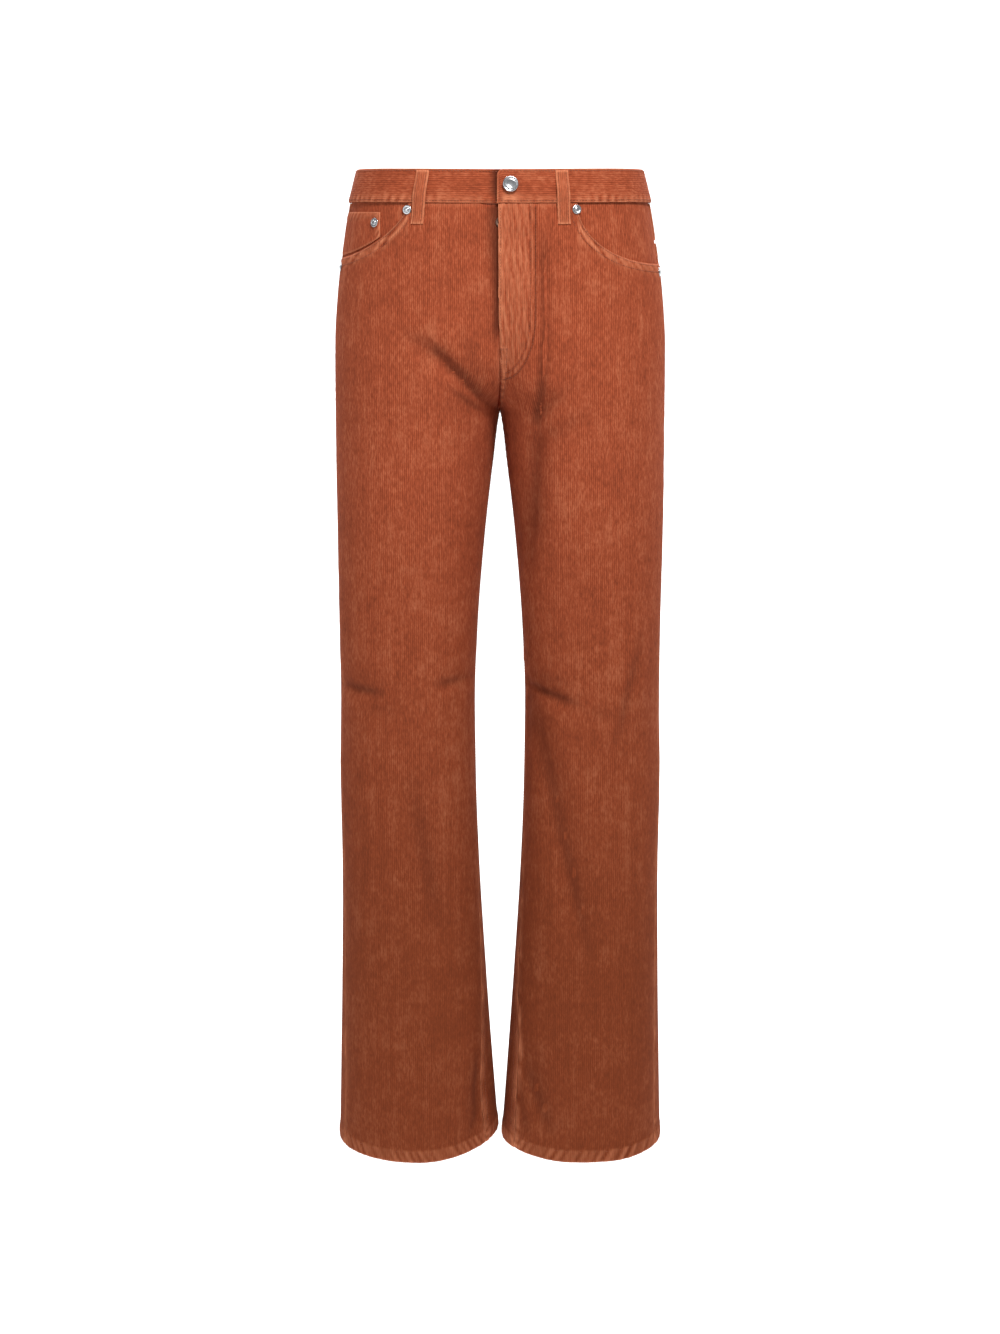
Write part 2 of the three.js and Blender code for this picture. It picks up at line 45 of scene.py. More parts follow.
CLOTH = 1.6
SEAM_GAP = 0.06  # the solids leave 0.3 mm, which the looks nearly close
LAYER_GAP = 0.4
BAND_TOP = 19.0
BAND_BOTTOM = -16.0
PANEL_TOP = BAND_BOTTOM - SEAM_GAP
CROTCH = -235.0
HEM = -1077.0
HEM_DEPTH = 14.0
FOOT_TURN = 1.2  # the last rows of a leg panel turn under within this
HEM_SLOPE = 0.07
HEM_RISE_INNER = {LEFT: 4.0, RIGHT: 12.0}
HEM_RISE_OUTER = 3.0
FLY_EDGE = -1.8
FLY_FOOT = -160.0
FLY_RECESS = 4.5
BAND_RECESS = 3.6
BAND_OUT = 1.2
BAND_IN = 1.6
YOKE_SIDE = -54.0
YOKE_MIDDLE = -88.0
YOKE_LEVEL = -70.0  # where the share of the way round is measured for the yoke's foot
WALE_LEVEL = -50.0  # where each column of points is matched with the top edge above it
EASE_FOOT = -150.0  # the rows of points follow a panel's top edge, and are level below this
SCOOP_END = 175.0
SEAM_TURN = SEAM_GAP / 200  # half the gap at the outer and inner seams, in radians
BEYOND = 999  # a distance that is past every edge

WALE = 2.2  # from the middle of one wale to the next
WALE_HEIGHT = 0.34
DRAPE_DEPTH = 0.8
CRUMPLE_DEPTH = 0.16
CREASE_GAIN = 1.35  # the creases are drawn this much deeper than their table says
WALE_POINTS = 3  # columns of points in each wale
GRAIN_X = 95.0  # the wales run straight down the leg at this x

# Sections of one half, from the waist down, as in the part's source.
SECTION_COLUMNS = ("z", "outer", "inner", "front", "back", "seam", "square")
SECTIONS = (
    (19, 154, -154, 104, 107, 0, 2.5),
    (-16, 162.5, -162.5, 109, 112, 0, 2.45),
    (-60, 170, -170, 115, 122, 1, 2.4),
    (-110, 176.5, -140, 118, 130, 2, 2.35),
    (-160, 180, -78, 118, 132, 3, 2.3),
    (-200, 180.5, -32, 115, 129, 4, 2.3),
    (-235, 180.6, 0, 110, 122, 4, 2.25),
    (-292, 180.7, 8, 103, 110, 4, 2.25),
    (-380, 179.6, 18, 93, 97, 2, 2.2),
    (-470, 178.4, 25.2, 84, 85, 0, 2.2),
    (-560, 178.2, 28.7, 78, 76, 0, 2.2),
    (-640, 179.5, 27.8, 75, 74, 1, 2.2),
    (-747, 178.7, 23.9, 72, 77, 3, 2.2),
    (-888, 180.7, 15.5, 70, 82, 5, 2.15),
    (-984, 183, 9.2, 69, 84, 6, 2.1),
    (-1077, 185.2, 2.6, 70, 85, 6, 2.05),
)
SEAM_TURN_COLUMNS = ("z", "outseam", "inseam")
SEAM_TURNS = (
    (-16, 0, 0),
    (-160, 2, 0),
    (-300, 9, 0),
    (-560, 15, 2),
    (-740, 18, 12),
    (-984, 21, 26),
    (-1077, 21, 28),
)

# The folds of the solids: from (x1, z1) to (x2, z2), outward depth, and spread.
FRONT_FOLDS = (
    (-84, -158, -6, -226, -5, 9),
    (-66, -138, -8, -196, 2.5, 12),
    (44, -52, 47, -150, -3, 7),
    (47, -140, 39, -232, -5, 9),
    (39, -225, 29, -400, -6, 11),
    (66, -180, 58, -380, 2, 16),
    (-176, -536, -124, -541, -4, 12),
    (-68, -532, -36, -528, -2.5, 8),
    (24, -535, 82, -551, -4, 9),
    (152, -480, 146, -556, 3, 12),
    (146, -552, 108, -602, 3, 12),
    (30, -558, 64, -670, -5, 12),
    (62, -660, 106, -845, -5, 12),
    (-27, -880, -44, -1010, 2, 9),
    (-24, -1000, -32, -1058, -3.5, 8),
    (28, -960, 58, -1044, -4, 10),
)
BACK_FOLDS = (
    (30, -232, 118, -268, -4, 12),
    (-26, -236, -108, -262, -5, 12),
    (40, -268, 128, -306, -3, 11),
    (-46, -270, -122, -318, -3, 12),
    (46, -540, 150, -556, -4.5, 12),
    (-50, -548, -140, -536, -4, 12),
    (60, -590, 140, -600, -3, 11),
    (-42, -586, -120, -606, -3.5, 11),
    (70, -640, 96, -900, -4, 14),
    (-112, -650, -78, -930, -4, 14),
)

# Finer creases that only the looks need: from, to, outward depth, step across, and spread.
FRONT_CREASES = (
    (-66, -172, -3, -229, -1.5, -1.5, 4.0),
    (-98, -150, -60, -176, -0.8, -0.4, 6),
    (-52, -208, -12, -237, -1.0, -0.6, 3.4),
    (-74, -158, -24, -203, -0.7, -0.4, 3.4),
    (-40, -150, -22, -196, -0.6, 0.2, 5),
    (45, -50, 47.5, -150, -1.2, 0.7, 3.2),
    (47.5, -146, 42, -208, -1.7, 1.1, 3.2),
    (42, -204, 35, -246, -1.8, 1.0, 3.4),
    (35, -240, 30, -395, -1.3, 0.6, 5),
    (70, -208, 36, -240, -0.7, 0.3, 5),
    (88, -238, 44, -262, -0.6, 0.2, 6),
    (-173, -537, -132, -541, -1.5, -0.7, 4),
    (-150, -556, -112, -561, -0.6, 0.2, 5),
    (-66, -531, -38, -529, -1.2, -0.5, 3.4),
    (26, -536, 82, -552, -1.6, -0.8, 4),
    (40, -524, 74, -530, -0.6, 0.2, 5),
    (96, -560, 128, -566, -0.5, 0.3, 5),
    (31, -556, 101, -836, -1.3, 0.9, 4.6),
    (152, -482, 128, -590, -0.9, 0.6, 4.5),
    (-96, -640, -70, -800, -0.8, 0.6, 7),
    (-26, -968, -25, -1046, -1.2, 0.8, 4),
    (-20, -1030, -34, -1058, -0.8, 0.4, 3),
    (26, -974, 56, -1042, -1.4, 0.9, 4),
    (20, -1010, 30, -1052, -0.7, 0.3, 3),
)
BACK_CREASES = (
    (26, -229, 96, -262, -1.4, 0.8, 4),
    (-22, -232, -90, -258, -1.5, 0.9, 4),
    (60, -258, 118, -282, -0.9, 0.5, 5),
    (-58, -262, -112, -290, -0.8, 0.4, 5),
    (34, -300, 92, -322, -0.6, 0.3, 6),
    (-40, -296, -84, -318, -0.7, 0.3, 6),
    (52, -541, 140, -555, -1.6, 0.8, 4),
    (-56, -547, -134, -538, -1.5, 0.8, 4),
    (70, -562, 128, -573, -0.9, 0.4, 5),
    (-60, -566, -112, -560, -0.8, 0.4, 5),
    (66, -590, 134, -599, -1.1, 0.5, 5),
    (-48, -587, -114, -604, -1.2, 0.6, 5),
    (74, -650, 92, -800, -0.8, 0.3, 6),
    (-108, -660, -88, -840, -0.9, 0.4, 6),
    (40, -980, 66, -1046, -0.9, 0.5, 4),
    (-46, -990, -60, -1050, -0.8, 0.4, 4),
)

SCOOPS = {
    LEFT: {"x": 81.0, "drop": 64.0, "roundness": 2.0},
    RIGHT: {"x": 96.0, "drop": 58.0, "roundness": 1.5},
}
FACING_LAP = 12.0
COIN_POCKET = {"x": 127.0, "top": -26.0, "foot": -76.0}
BACK_POCKET = {"inner": 40.0, "outer": 134.0, "top": -112.0, "side": -222.0, "point": -244.0}
LOOPS = (
    ("belt_loop_front_left", LEFT, FRONT, 64.0, 67.0),
    ("belt_loop_front_right", RIGHT, FRONT, 80.0, 86.5),
    ("belt_loop_back_left", LEFT, BACK, 112.0, 114.0),
    ("belt_loop_back_right", RIGHT, BACK, 112.0, 114.0),
    ("belt_loop_middle_back", LEFT, BACK, 0.0, 0.0),
)
LOOP_WIDTH = 13.0
LOOP_TOP = 17.0
LOOP_BOTTOM = -38.0
LOOP_BULGE = 2.6
LOOP_THICK = 1.8

# Lines of stitches: how far each lies from the edge that it holds.
FIRST_LINE = 1.8
SEAM_LINE = 7.6
YOKE_LINE = 7.8
SCOOP_LINE = 8.2
COIN_LINE = 8.0
BAND_LINE = 2.2
HEM_LINE = 1.6
FLY_LINES = ((37.0, -200.0), (31.5, -193.0))  # x beside the fly, and z at the foot
FLY_BEND = -128.0


# Curves and sections


def smoothstep(x, low, high):
    t = np.clip((np.asarray(x, float) - low) / (high - low), 0, 1)
    return t * t * (3 - 2 * t)


def lerp(a, b, t):
    return a + (b - a) * t


def column_curve(table, columns, key):
    """A smooth curve through one column of a table, with no overshoot between its rows."""
    rows = np.array(table, float)
    rows = rows[np.argsort(rows[:, 0])]
    z_rows, values = rows[:, 0], rows[:, columns.index(key)]
    gap = np.diff(z_rows)
    rise = np.diff(values) / gap
    product = rise[:-1] * rise[1:]
    total = np.where(product > 0, rise[:-1] + rise[1:], 1)
    middle = np.where(product > 0, 2 * product / total, 0)
    slope = np.concatenate([rise[:1], middle, rise[-1:]])

    def at(z):
        z = np.asarray(z, float)
        i = np.clip(np.searchsorted(z_rows, z, side="right") - 1, 0, len(gap) - 1)
        t = np.clip((z - z_rows[i]) / gap[i], 0, 1)
        t2, t3 = t * t, t * t * t
        return (
            (2 * t3 - 3 * t2 + 1) * values[i]
            + (t3 - 2 * t2 + t) * gap[i] * slope[i]
            + (3 * t2 - 2 * t3) * values[i + 1]
            + (t3 - t2) * gap[i] * slope[i + 1]
        )

    return at


CURVE = {key: column_curve(SECTIONS, SECTION_COLUMNS, key) for key in SECTION_COLUMNS[1:]}
OUTSEAM_DEGREES = column_curve(SEAM_TURNS, SEAM_TURN_COLUMNS, "outseam")
INSEAM_DEGREES = column_curve(SEAM_TURNS, SEAM_TURN_COLUMNS, "inseam")


def inner_reach(z):
    reach = CURVE["inner"](z)
    half = SEAM_GAP / 2
    return np.where(z > CROTCH, np.minimum(reach, half), np.maximum(reach, half))


def oval(angle, z):
    """x, counted outward from the middle plane, and y of the oval, before folds."""
    angle, z = np.broadcast_arrays(np.asarray(angle, float), np.asarray(z, float))
    outer, inner, seam = CURVE["outer"](z), inner_reach(z), CURVE["seam"](z)
    across = (outer - inner) / 2
    cos, sin = np.cos(angle), np.sin(angle)
    deep = np.where(sin > 0, CURVE["front"](z) + seam, CURVE["back"](z) - seam)
    power = CURVE["square"](z)
    radius = (np.abs(cos / across) ** power + np.abs(sin / deep) ** power) ** (-1 / power)
    return (outer + inner) / 2 + radius * cos, seam - radius * sin


def turn_at_x(face, x, z):
    """How far round from the outer side the oval is a distance x from the middle plane."""
    x, z = np.broadcast_arrays(np.asarray(x, float), np.asarray(z, float))
    near, far = np.zeros(x.shape), np.full(x.shape, math.pi)
    for _ in range(36):
        middle = (near + far) / 2
        outside = oval(face * middle, z)[0] > x
        near = np.where(outside, middle, near)
        far = np.where(outside, far, middle)
    return near


# Folds, creases and the cloth's surface


def fold_at(fold, x, z, step=0.0):
    x1, z1, x2, z2, depth, spread = fold
    dx, dz = x2 - x1, z2 - z1
    length = math.hypot(dx, dz)
    along = ((x - x1) * dx + (z - z1) * dz) / length
    aside = ((x - x1) * dz - (z - z1) * dx) / length
    past = np.maximum(0, np.maximum(-along, along - length))
    inside = np.minimum(along, length - along) / length
    taper = np.where(past > 0, 0.45, 0.45 + 0.55 * smoothstep(inside, 0, 0.3))
    bell = taper * np.exp(-(aside**2 + past**2) / (2 * spread**2))
    if step:
        wide = taper * np.exp(-(aside**2 + past**2) / (2 * (2.6 * spread) ** 2))
        return depth * bell + step * wide * np.tanh(aside / (0.7 * spread))
    return depth * bell


def recess_at(x, z):
    across = 1 - smoothstep(np.abs(x), 8, 26)
    down = smoothstep(z, -186, FLY_FOOT) * 0.55 + smoothstep(z, FLY_FOOT, -100) * 0.45
    return FLY_RECESS * across * down


def waves(seed, count, shortest, longest):
    """A fixed set of slow waves: their numbers across and along, and their phases."""
    rng = np.random.default_rng(seed)
    length = np.exp(rng.uniform(math.log(shortest), math.log(longest), count))
    lean = rng.uniform(-0.9, 0.9, count)
    phase = rng.uniform(0, 2 * math.pi, count)
    return 2 * math.pi / length * np.cos(lean), 2 * math.pi / length * np.sin(lean), phase


def waves_at(seed, count, shortest, longest, x, z=0.0):
    """The sum of a set of slow waves at points x and z, about 1 at its crests."""
    total = np.zeros(np.broadcast(x, z).shape)
    for across, along, phase in zip(*waves(seed, count, shortest, longest)):
        total = total + np.sin(across * x + along * z + phase)
    return total / math.sqrt(count)


def creases_of(side, face):
    """The finer creases on one side of a face, each as a fold and its step across."""
    for x1, z1, x2, z2, depth, step, spread in FRONT_CREASES if face == FRONT else BACK_CREASES:
        if (x1 > 0) == (side > 0):
            yield (x1, z1, x2, z2, depth, spread), step


def fine_relief(side, face, x, z):
    """Slow drape, small crumple and creases of one face, beyond the folds of the solids."""
    calm = smoothstep(-z, 40, 120)
    half = 3 * side + face
    relief = DRAPE_DEPTH * calm * waves_at(11 + half, 7, 70, 210, x * 1.2, z * 0.55)
    relief = relief + CRUMPLE_DEPTH * calm * waves_at(41 + half, 12, 13, 34, x, z)
    for fold, step in creases_of(side, face):
        relief = relief + CREASE_GAIN * fold_at(fold, x, z, step)
    return relief


def crease_shade(side, face, x, z):
    """How much shade is painted into the narrow floor of each crease, from 0 to 1."""
    shade = np.zeros(np.broadcast(x, z).shape)
    for fold, _ in creases_of(side, face):
        shade = shade - fold_at(fold, side * x, z)
    return np.clip(shade * 0.33, 0, 0.65)


def cloth_point(side, angle, z, fine):
    """Points of the cloth's outer face, with x counted outward from the middle plane."""
    x, y = oval(angle, z)
    ahead_x, ahead_y = oval(angle + 0.01, z)
    behind_x, behind_y = oval(angle - 0.01, z)
    out_x, out_y = -(ahead_y - behind_y), ahead_x - behind_x
    size = np.hypot(out_x, out_y)
    facing = np.sin(angle)
    for face, folds in ((FRONT, FRONT_FOLDS), (BACK, BACK_FOLDS)):
        here = (facing > 0) if face == FRONT else (facing <= 0)
        if not here.any():
            continue
        relief = np.zeros(x.shape)
        for fold in folds:
            if (fold[0] > 0) == (side > 0):
                relief = relief + fold_at(fold, side * x, z)
        if fine:
            relief = relief + fine_relief(side, face, side * x, z)
        relief = relief * smoothstep(np.abs(facing), 0, 0.3)
        if side == RIGHT and face == FRONT:
            relief = relief - recess_at(side * x, z)
        relief = np.where(here, relief, 0)
        x = x + out_x / size * relief
        y = y + out_y / size * relief
    waist = smoothstep(z, -150, 0)
    waist_rise = 2.5 * (x / 155) ** 2 + 6 * smoothstep(y, 0, 110)
    hem = 1 - smoothstep(z, HEM, -880)
    across = np.cos(angle)
    end_rise = np.where(across > 0, HEM_RISE_OUTER, HEM_RISE_INNER[side])
    z = z + waist * waist_rise + hem * (HEM_SLOPE * y + end_rise * across**2)
    return np.stack([x, y, z], axis=-1)


def surface(side, angle, z, offset=0.0, level=False, fine=True):
    """Points moved out from the cloth by an offset, and mirrored to their side."""
    angle, z, offset = np.broadcast_arrays(*(np.asarray(a, float) for a in (angle, z, offset)))
    point = cloth_point(side, angle, z, fine)
    turn, drop = 0.02, 1.5
    round_it = cloth_point(side, angle + turn, z, fine) - cloth_point(side, angle - turn, z, fine)
    down = cloth_point(side, angle, z - drop, fine) - cloth_point(side, angle, z + drop, fine)
    outward = np.cross(round_it, down)
    if level:
        outward[..., 2] = 0
    outward /= np.linalg.norm(outward, axis=-1, keepdims=True)
    point = point + outward * offset[..., None]
    point[..., 0] *= side
    return point


# The cloth unrolled: u runs round the leg from the grain line, in millimetres


class Unrolled:
    def __init__(self, face):
        self.face = face
        self.levels = np.arange(-1110, 46, 5.0)
        self.turns = np.linspace(-0.8, math.pi + 0.8, 500)
        x, y = oval(face * self.turns[None, :], self.levels[:, None])
        steps = np.hypot(np.diff(x, axis=1), np.diff(y, axis=1))
        length = np.concatenate([np.zeros((len(self.levels), 1)), np.cumsum(steps, axis=1)], axis=1)
        grain = turn_at_x(face, GRAIN_X, self.levels)
        starts = [np.interp(g, self.turns, row) for g, row in zip(grain, length)]
        self.length = length - np.array(starts)[:, None]
        self.spots = np.arange(-280, 420, 1.0)
        self.inverse = np.array([np.interp(self.spots, row, self.turns) for row in self.length])

    def look_up(self, table, columns, z, value):
        z, value = np.broadcast_arrays(np.asarray(z, float), np.asarray(value, float))
        r = (z - self.levels[0]) / (self.levels[1] - self.levels[0])
        c = (value - columns[0]) / (columns[1] - columns[0])
        i = np.clip(np.floor(r).astype(int), 0, len(self.levels) - 2)
        j = np.clip(np.floor(c).astype(int), 0, len(columns) - 2)
        r, c = np.clip(r - i, 0, 1), np.clip(c - j, 0, 1)
        top = table[i, j] * (1 - c) + table[i, j + 1] * c
        low = table[i + 1, j] * (1 - c) + table[i + 1, j + 1] * c
        return top * (1 - r) + low * r

    def along(self, turn, z):
        return self.look_up(self.length, self.turns, z, turn)

    def turn(self, u, z):
        return self.look_up(self.inverse, self.spots, z, u)


UNROLLED = {face: Unrolled(face) for face in (FRONT, BACK)}


def outer_edge_turn(face, z):
    return face * np.radians(OUTSEAM_DEGREES(z)) + SEAM_TURN


def inner_edge_turn(face, z, edge_x):
    """edge_x gives the x of the edge above the crotch, as a function of height."""
    z = np.asarray(z, float)
    below = math.pi - SEAM_TURN - face * np.radians(INSEAM_DEGREES(z))
    return np.where(z > CROTCH, turn_at_x(face, edge_x(z), z), below)


# Meshes


def rim_loop(index):
    """The vertices round the edge of a grid, in order."""
    loop = [index[0, :-1], index[:-1, -1], index[-1, :0:-1], index[:0:-1, 0]]
    return np.concatenate(loop)


def grid_mesh(name, sheets):
    """One mesh from grids of points. A sheet is (points, uv, wear_and_shade), each rows by columns,
    the last being rubbed wear above zero and painted shade below. Points that meet become one,
    and faces whose corners meet are closed up or dropped. A second sheet lies behind the first
    and faces the other way, and its rim is joined to the first one's."""
    points = np.concatenate([point.reshape(-1, 3) for point, _, _ in sheets])
    uvs = np.concatenate([uv.reshape(-1, 2) for _, uv, _ in sheets])
    wear_and_shade_values = np.concatenate([wear_and_shade.reshape(-1) for _, _, wear_and_shade in sheets])
    _, first, same = np.unique(np.round(points, 3), axis=0, return_index=True, return_inverse=True)
    lead = first[same.reshape(-1)]
    quads, others, loops, base = [], [], [], 0
    for back, (point, _, _) in enumerate(sheets):
        rows, columns = point.shape[:2]
        index = base + np.arange(rows * columns).reshape(rows, columns)
        base += rows * columns
        cells = np.stack([index[:-1, :-1], index[1:, :-1], index[1:, 1:], index[:-1, 1:]], axis=-1)
        cells = cells.reshape(-1, 4)[:, ::-1] if back else cells.reshape(-1, 4)
        met = lead[cells]
        equal = met == np.roll(met, -1, axis=1)
        bad = equal.any(axis=1) | (met[:, 0] == met[:, 2]) | (met[:, 1] == met[:, 3])
        quads.append(cells[~bad])
        others += [cell[~e] for cell, e in zip(cells[bad], equal[bad]) if len(set(lead[cell[~e]])) == 3]
        loops.append(rim_loop(index))
    if len(sheets) == 2:
        others += rim_faces(lead, *loops)
    quads = np.concatenate(quads)
    sizes = np.concatenate([np.full(len(quads), 4), [len(other) for other in others]]).astype(int)
    loop_uv = np.concatenate([quads.reshape(-1), *others]).astype(int)
    used, loop_at = np.unique(lead[loop_uv], return_inverse=True)
    mesh = bpy.data.meshes.new(name)
    mesh.vertices.add(len(used))
    mesh.vertices.foreach_set("co", (points[used] * MM).astype(np.float32).ravel())
    mesh.loops.add(len(loop_uv))
    mesh.loops.foreach_set("vertex_index", loop_at.reshape(-1).astype(np.int32))
    mesh.polygons.add(len(sizes))
    starts = np.concatenate([[0], np.cumsum(sizes)[:-1]])
    mesh.polygons.foreach_set("loop_start", starts.astype(np.int32))
    mesh.update(calc_edges=True)
    layer = mesh.uv_layers.new(name="UVMap")
    layer.data.foreach_set("uv", (uvs[loop_uv] * MM).astype(np.float32).ravel())
    # wear_and_shade holds rubbed wear above zero and painted shade below zero
    attribute = mesh.attributes.new("wear_and_shade", "FLOAT", "POINT")
    attribute.data.foreach_set("value", wear_and_shade_values[used].astype(np.float32))
    mesh.polygons.foreach_set("use_smooth", np.ones(len(sizes), bool))
    mesh.update()
    return mesh


def rim_faces(lead, front_loop, back_loop):
    """Thin faces between the fine rim of one sheet and the same rim with fewer points."""
    where = {}
    for i, vertex in enumerate(lead[front_loop]):
        where.setdefault(vertex, i)
    faces = []
    count = len(front_loop)
    stops = [where[vertex] for vertex in lead[back_loop] if vertex in where]
    for i, j in zip(stops, stops[1:] + stops[:1]):
        chain = front_loop[np.arange(i, j + 1 if j >= i else j + count + 1) % count]
        keep = np.concatenate([[True], lead[chain[1:]] != lead[chain[:-1]]])
        chain = chain[keep]
        if 2 < len(chain) < count / 2 and len(set(lead[chain])) == len(chain):
            faces.append(chain)
    return faces


def plain_mesh(name, points, faces):
    """A smooth mesh of points in metres."""
    mesh = bpy.data.meshes.new(name)
    mesh.from_pydata(points, [], faces)
    mesh.polygons.foreach_set("use_smooth", np.ones(len(mesh.polygons), bool))
    mesh.update()
    return mesh


def place(name, mesh, material, replaces=()):
    piece = bpy.data.objects.new(name, mesh)
    bpy.context.scene.collection.objects.link(piece)
    mesh.materials.clear()
    mesh.materials.append(material)
    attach(piece, "root")
    if replaces:
        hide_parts(*replaces)
    return piece


def wale_relief(u):
    """Round ridges with narrow grooves between them."""
    across = np.abs(2 * np.mod(u / WALE, 1) - 1)
    return WALE_HEIGHT * (1 - across**2.5)


def steps(low, high, pitch):
    return np.linspace(low, high, max(2, int(math.ceil((high - low) / pitch)) + 1))


def row_heights(face, top):
    """Heights of a leg panel's rows: close together at the crotch and the hem, and closer still
    where the front's narrow creases slant to the crotch."""
    parts = [
        steps(-140, top, 5.5)[::-1],
        steps(-228, -140, 1.5 if face == FRONT else 2.8)[::-1][1:],
        CROTCH + 7 * (1 - np.linspace(0, 1, 8)[1:]) ** 2,
        CROTCH - 13 * np.linspace(0, 1, 6)[1:] ** 1.5,
        steps(-300, -248, 3.2)[::-1][1:],
        steps(-515, -300, 9)[::-1][1:],
        steps(-575, -515, 3.5)[::-1][1:],
        steps(-620, -575, 7.5)[::-1][1:],
        steps(-1040, -620, 10.5)[::-1][1:],
        steps(HEM + HEM_DEPTH + 3, -1040, 5)[::-1][1:],
        steps(HEM + FOOT_TURN, HEM + HEM_DEPTH + 3, 1.5)[::-1][1:],
    ]
    return np.concatenate(parts)


def eased_height(height, top, top_edge):
    eased = lerp(top_edge, EASE_FOOT, (top - height) / (top - EASE_FOOT))
    return np.where(height < EASE_FOOT, height, eased)


def scoop_height(side, x):
    scoop = SCOOPS[side]
    share = np.clip((x - scoop["x"]) / (SCOOP_END - scoop["x"]), 0, 1)
    power = scoop["roundness"]
    return PANEL_TOP - scoop["drop"] * (1 - (1 - share) ** power) ** (1 / power)


def scoop_top(side, x):
    return np.where(x > SCOOPS[side]["x"], scoop_height(side, x), PANEL_TOP)


def yoke_seam(x):
    """The height of the yoke's seam at a distance from the middle plane."""
    share = turn_at_x(BACK, x, YOKE_LEVEL) / turn_at_x(BACK, SEAM_GAP / 2, YOKE_LEVEL)
    return lerp(YOKE_SIDE, YOKE_MIDDLE, np.clip(share, 0, 1))


def middle_edge(z):
    return SEAM_GAP / 2 + 0 * z


def fly_edge(z):
    return lerp(SEAM_GAP / 2, FLY_EDGE, smoothstep(z, FLY_FOOT, -130))


def stitch_dent(distance):
    """How deep a line of stitches pulls the cloth down, at a distance from it."""
    return -0.32 * np.exp(-((distance / 0.9) ** 2))


def panel_grid(face, pitch, top_edge, edge_x):
    """The points of one leg panel: where each wale column crosses each row. The first and last rows
    and columns are the rim. Columns that would pass an edge stop on it."""
    unrolled = UNROLLED[face]
    heights = row_heights(face, PANEL_TOP)
    level_turns = np.linspace(0.0, math.pi, 200)
    level_u = unrolled.along(level_turns, WALE_LEVEL)
    low = unrolled.along(outer_edge_turn(face, heights), heights).min()
    high = unrolled.along(inner_edge_turn(face, heights, edge_x), heights).max()
    u = np.arange(math.floor(low / WALE) * WALE, high + WALE, pitch)
    turn = np.interp(u, level_u, level_turns)
    edge_top = top_edge(oval(face * turn, WALE_LEVEL)[0])
    z = eased_height(heights[:, None], PANEL_TOP, edge_top[None, :])
    z = np.concatenate([z[:1], z[:1], z, z[-1:] - FOOT_TURN, z[-1:] - FOOT_TURN])
    u = np.concatenate([[-BEYOND] * 3, u, [BEYOND] * 3])
    z = np.concatenate([z[:, :1], z[:, :1], z[:, :1], z, z[:, -1:], z[:, -1:], z[:, -1:]], axis=1)
    turn_low = outer_edge_turn(face, z)
    turn_high = inner_edge_turn(face, z, edge_x)
    u_low, u_high = unrolled.along(turn_low, z), unrolled.along(turn_high, z)
    wanted = np.broadcast_to(u[None, :], z.shape).copy()
    wanted[:, 2] = u_low[:, 2] + 0.5
    wanted[:, -3] = u_high[:, -3] - 0.5
    inside = np.clip(wanted, u_low, u_high)
    turn = unrolled.turn(inside, z)
    turn = np.where(wanted <= u_low, turn_low, np.where(wanted >= u_high, turn_high, turn))
    return z, turn, inside, u_low, u_high


def under_side(z):
    """The offset of a leg panel's inner face. The hem is folded up, so it is thicker."""
    return np.where(z < HEM + HEM_DEPTH, -CLOTH * 2, -CLOTH)


def rim_of(shape):
    rim = np.zeros(shape, bool)
    rim[0] = rim[-1] = True
    rim[:, 0] = rim[:, -1] = True
    return rim


def shell(name, outer, inner):
    """A thin closed shell of two sheets of points, each turned to face away from the other."""
    row, column = outer[0].shape[0] // 2, outer[0].shape[1] // 2
    a, b, d = outer[0][row, column], outer[0][row + 1, column], outer[0][row + 1, column + 1]
    under = inner[0][inner[0].shape[0] // 2, inner[0].shape[1] // 2]
    if np.dot(np.cross(b - a, d - a), a - under) < 0:
        outer = tuple(part[:, ::-1] for part in outer)
        inner = tuple(part[:, ::-1] for part in inner)
    return grid_mesh(name, [outer, inner])


def hem_looks(face, side, inside, z):
    """The folded hem: its line of stitches, the slanting ropes beside it and its worn foot."""
    from_hem = z - HEM
    hem = 1 - smoothstep(from_hem, HEM_DEPTH - 0.8, HEM_DEPTH + 1.6)
    rope = waves_at(5 + side + 3 * face, 5, 6.5, 11, inside + 0.55 * z)
    near_hem = np.exp(-((from_hem - HEM_DEPTH) / 9) ** 2)
    offset = hem * 0.75 + 0.34 * rope * np.maximum(near_hem, 0.7 * hem)
    offset = offset + stitch_dent(from_hem - HEM_DEPTH + HEM_LINE)
    offset = offset - 0.9 * (1 - smoothstep(from_hem, 0, 1.6))
    wear_and_shade = hem * (0.24 + 0.2 * rope) + 0.55 * (1 - smoothstep(from_hem, 0, 2.2))
    return offset, wear_and_shade


def sewn_edge(distance, wave, second, strength=1.0):
    """An edge sewn down by two lines of stitches: it puckers between them and is rubbed paler."""
    fell = strength * np.exp(-(((distance - second / 2) / 4.8) ** 2))
    offset = fell * (0.25 + 0.36 * wave)
    offset = offset + strength * (stitch_dent(distance - FIRST_LINE) + stitch_dent(distance - second))
    return offset, fell * (0.46 + 0.4 * wave)


def fly_line(z, x, foot):
    """x of a line of stitches that runs down beside the fly and curves to its foot."""
    share = np.clip((FLY_BEND - z) / (FLY_BEND - foot), 0, 1)
    return x * np.sqrt(np.clip(1 - share**2.2, 0, 1))


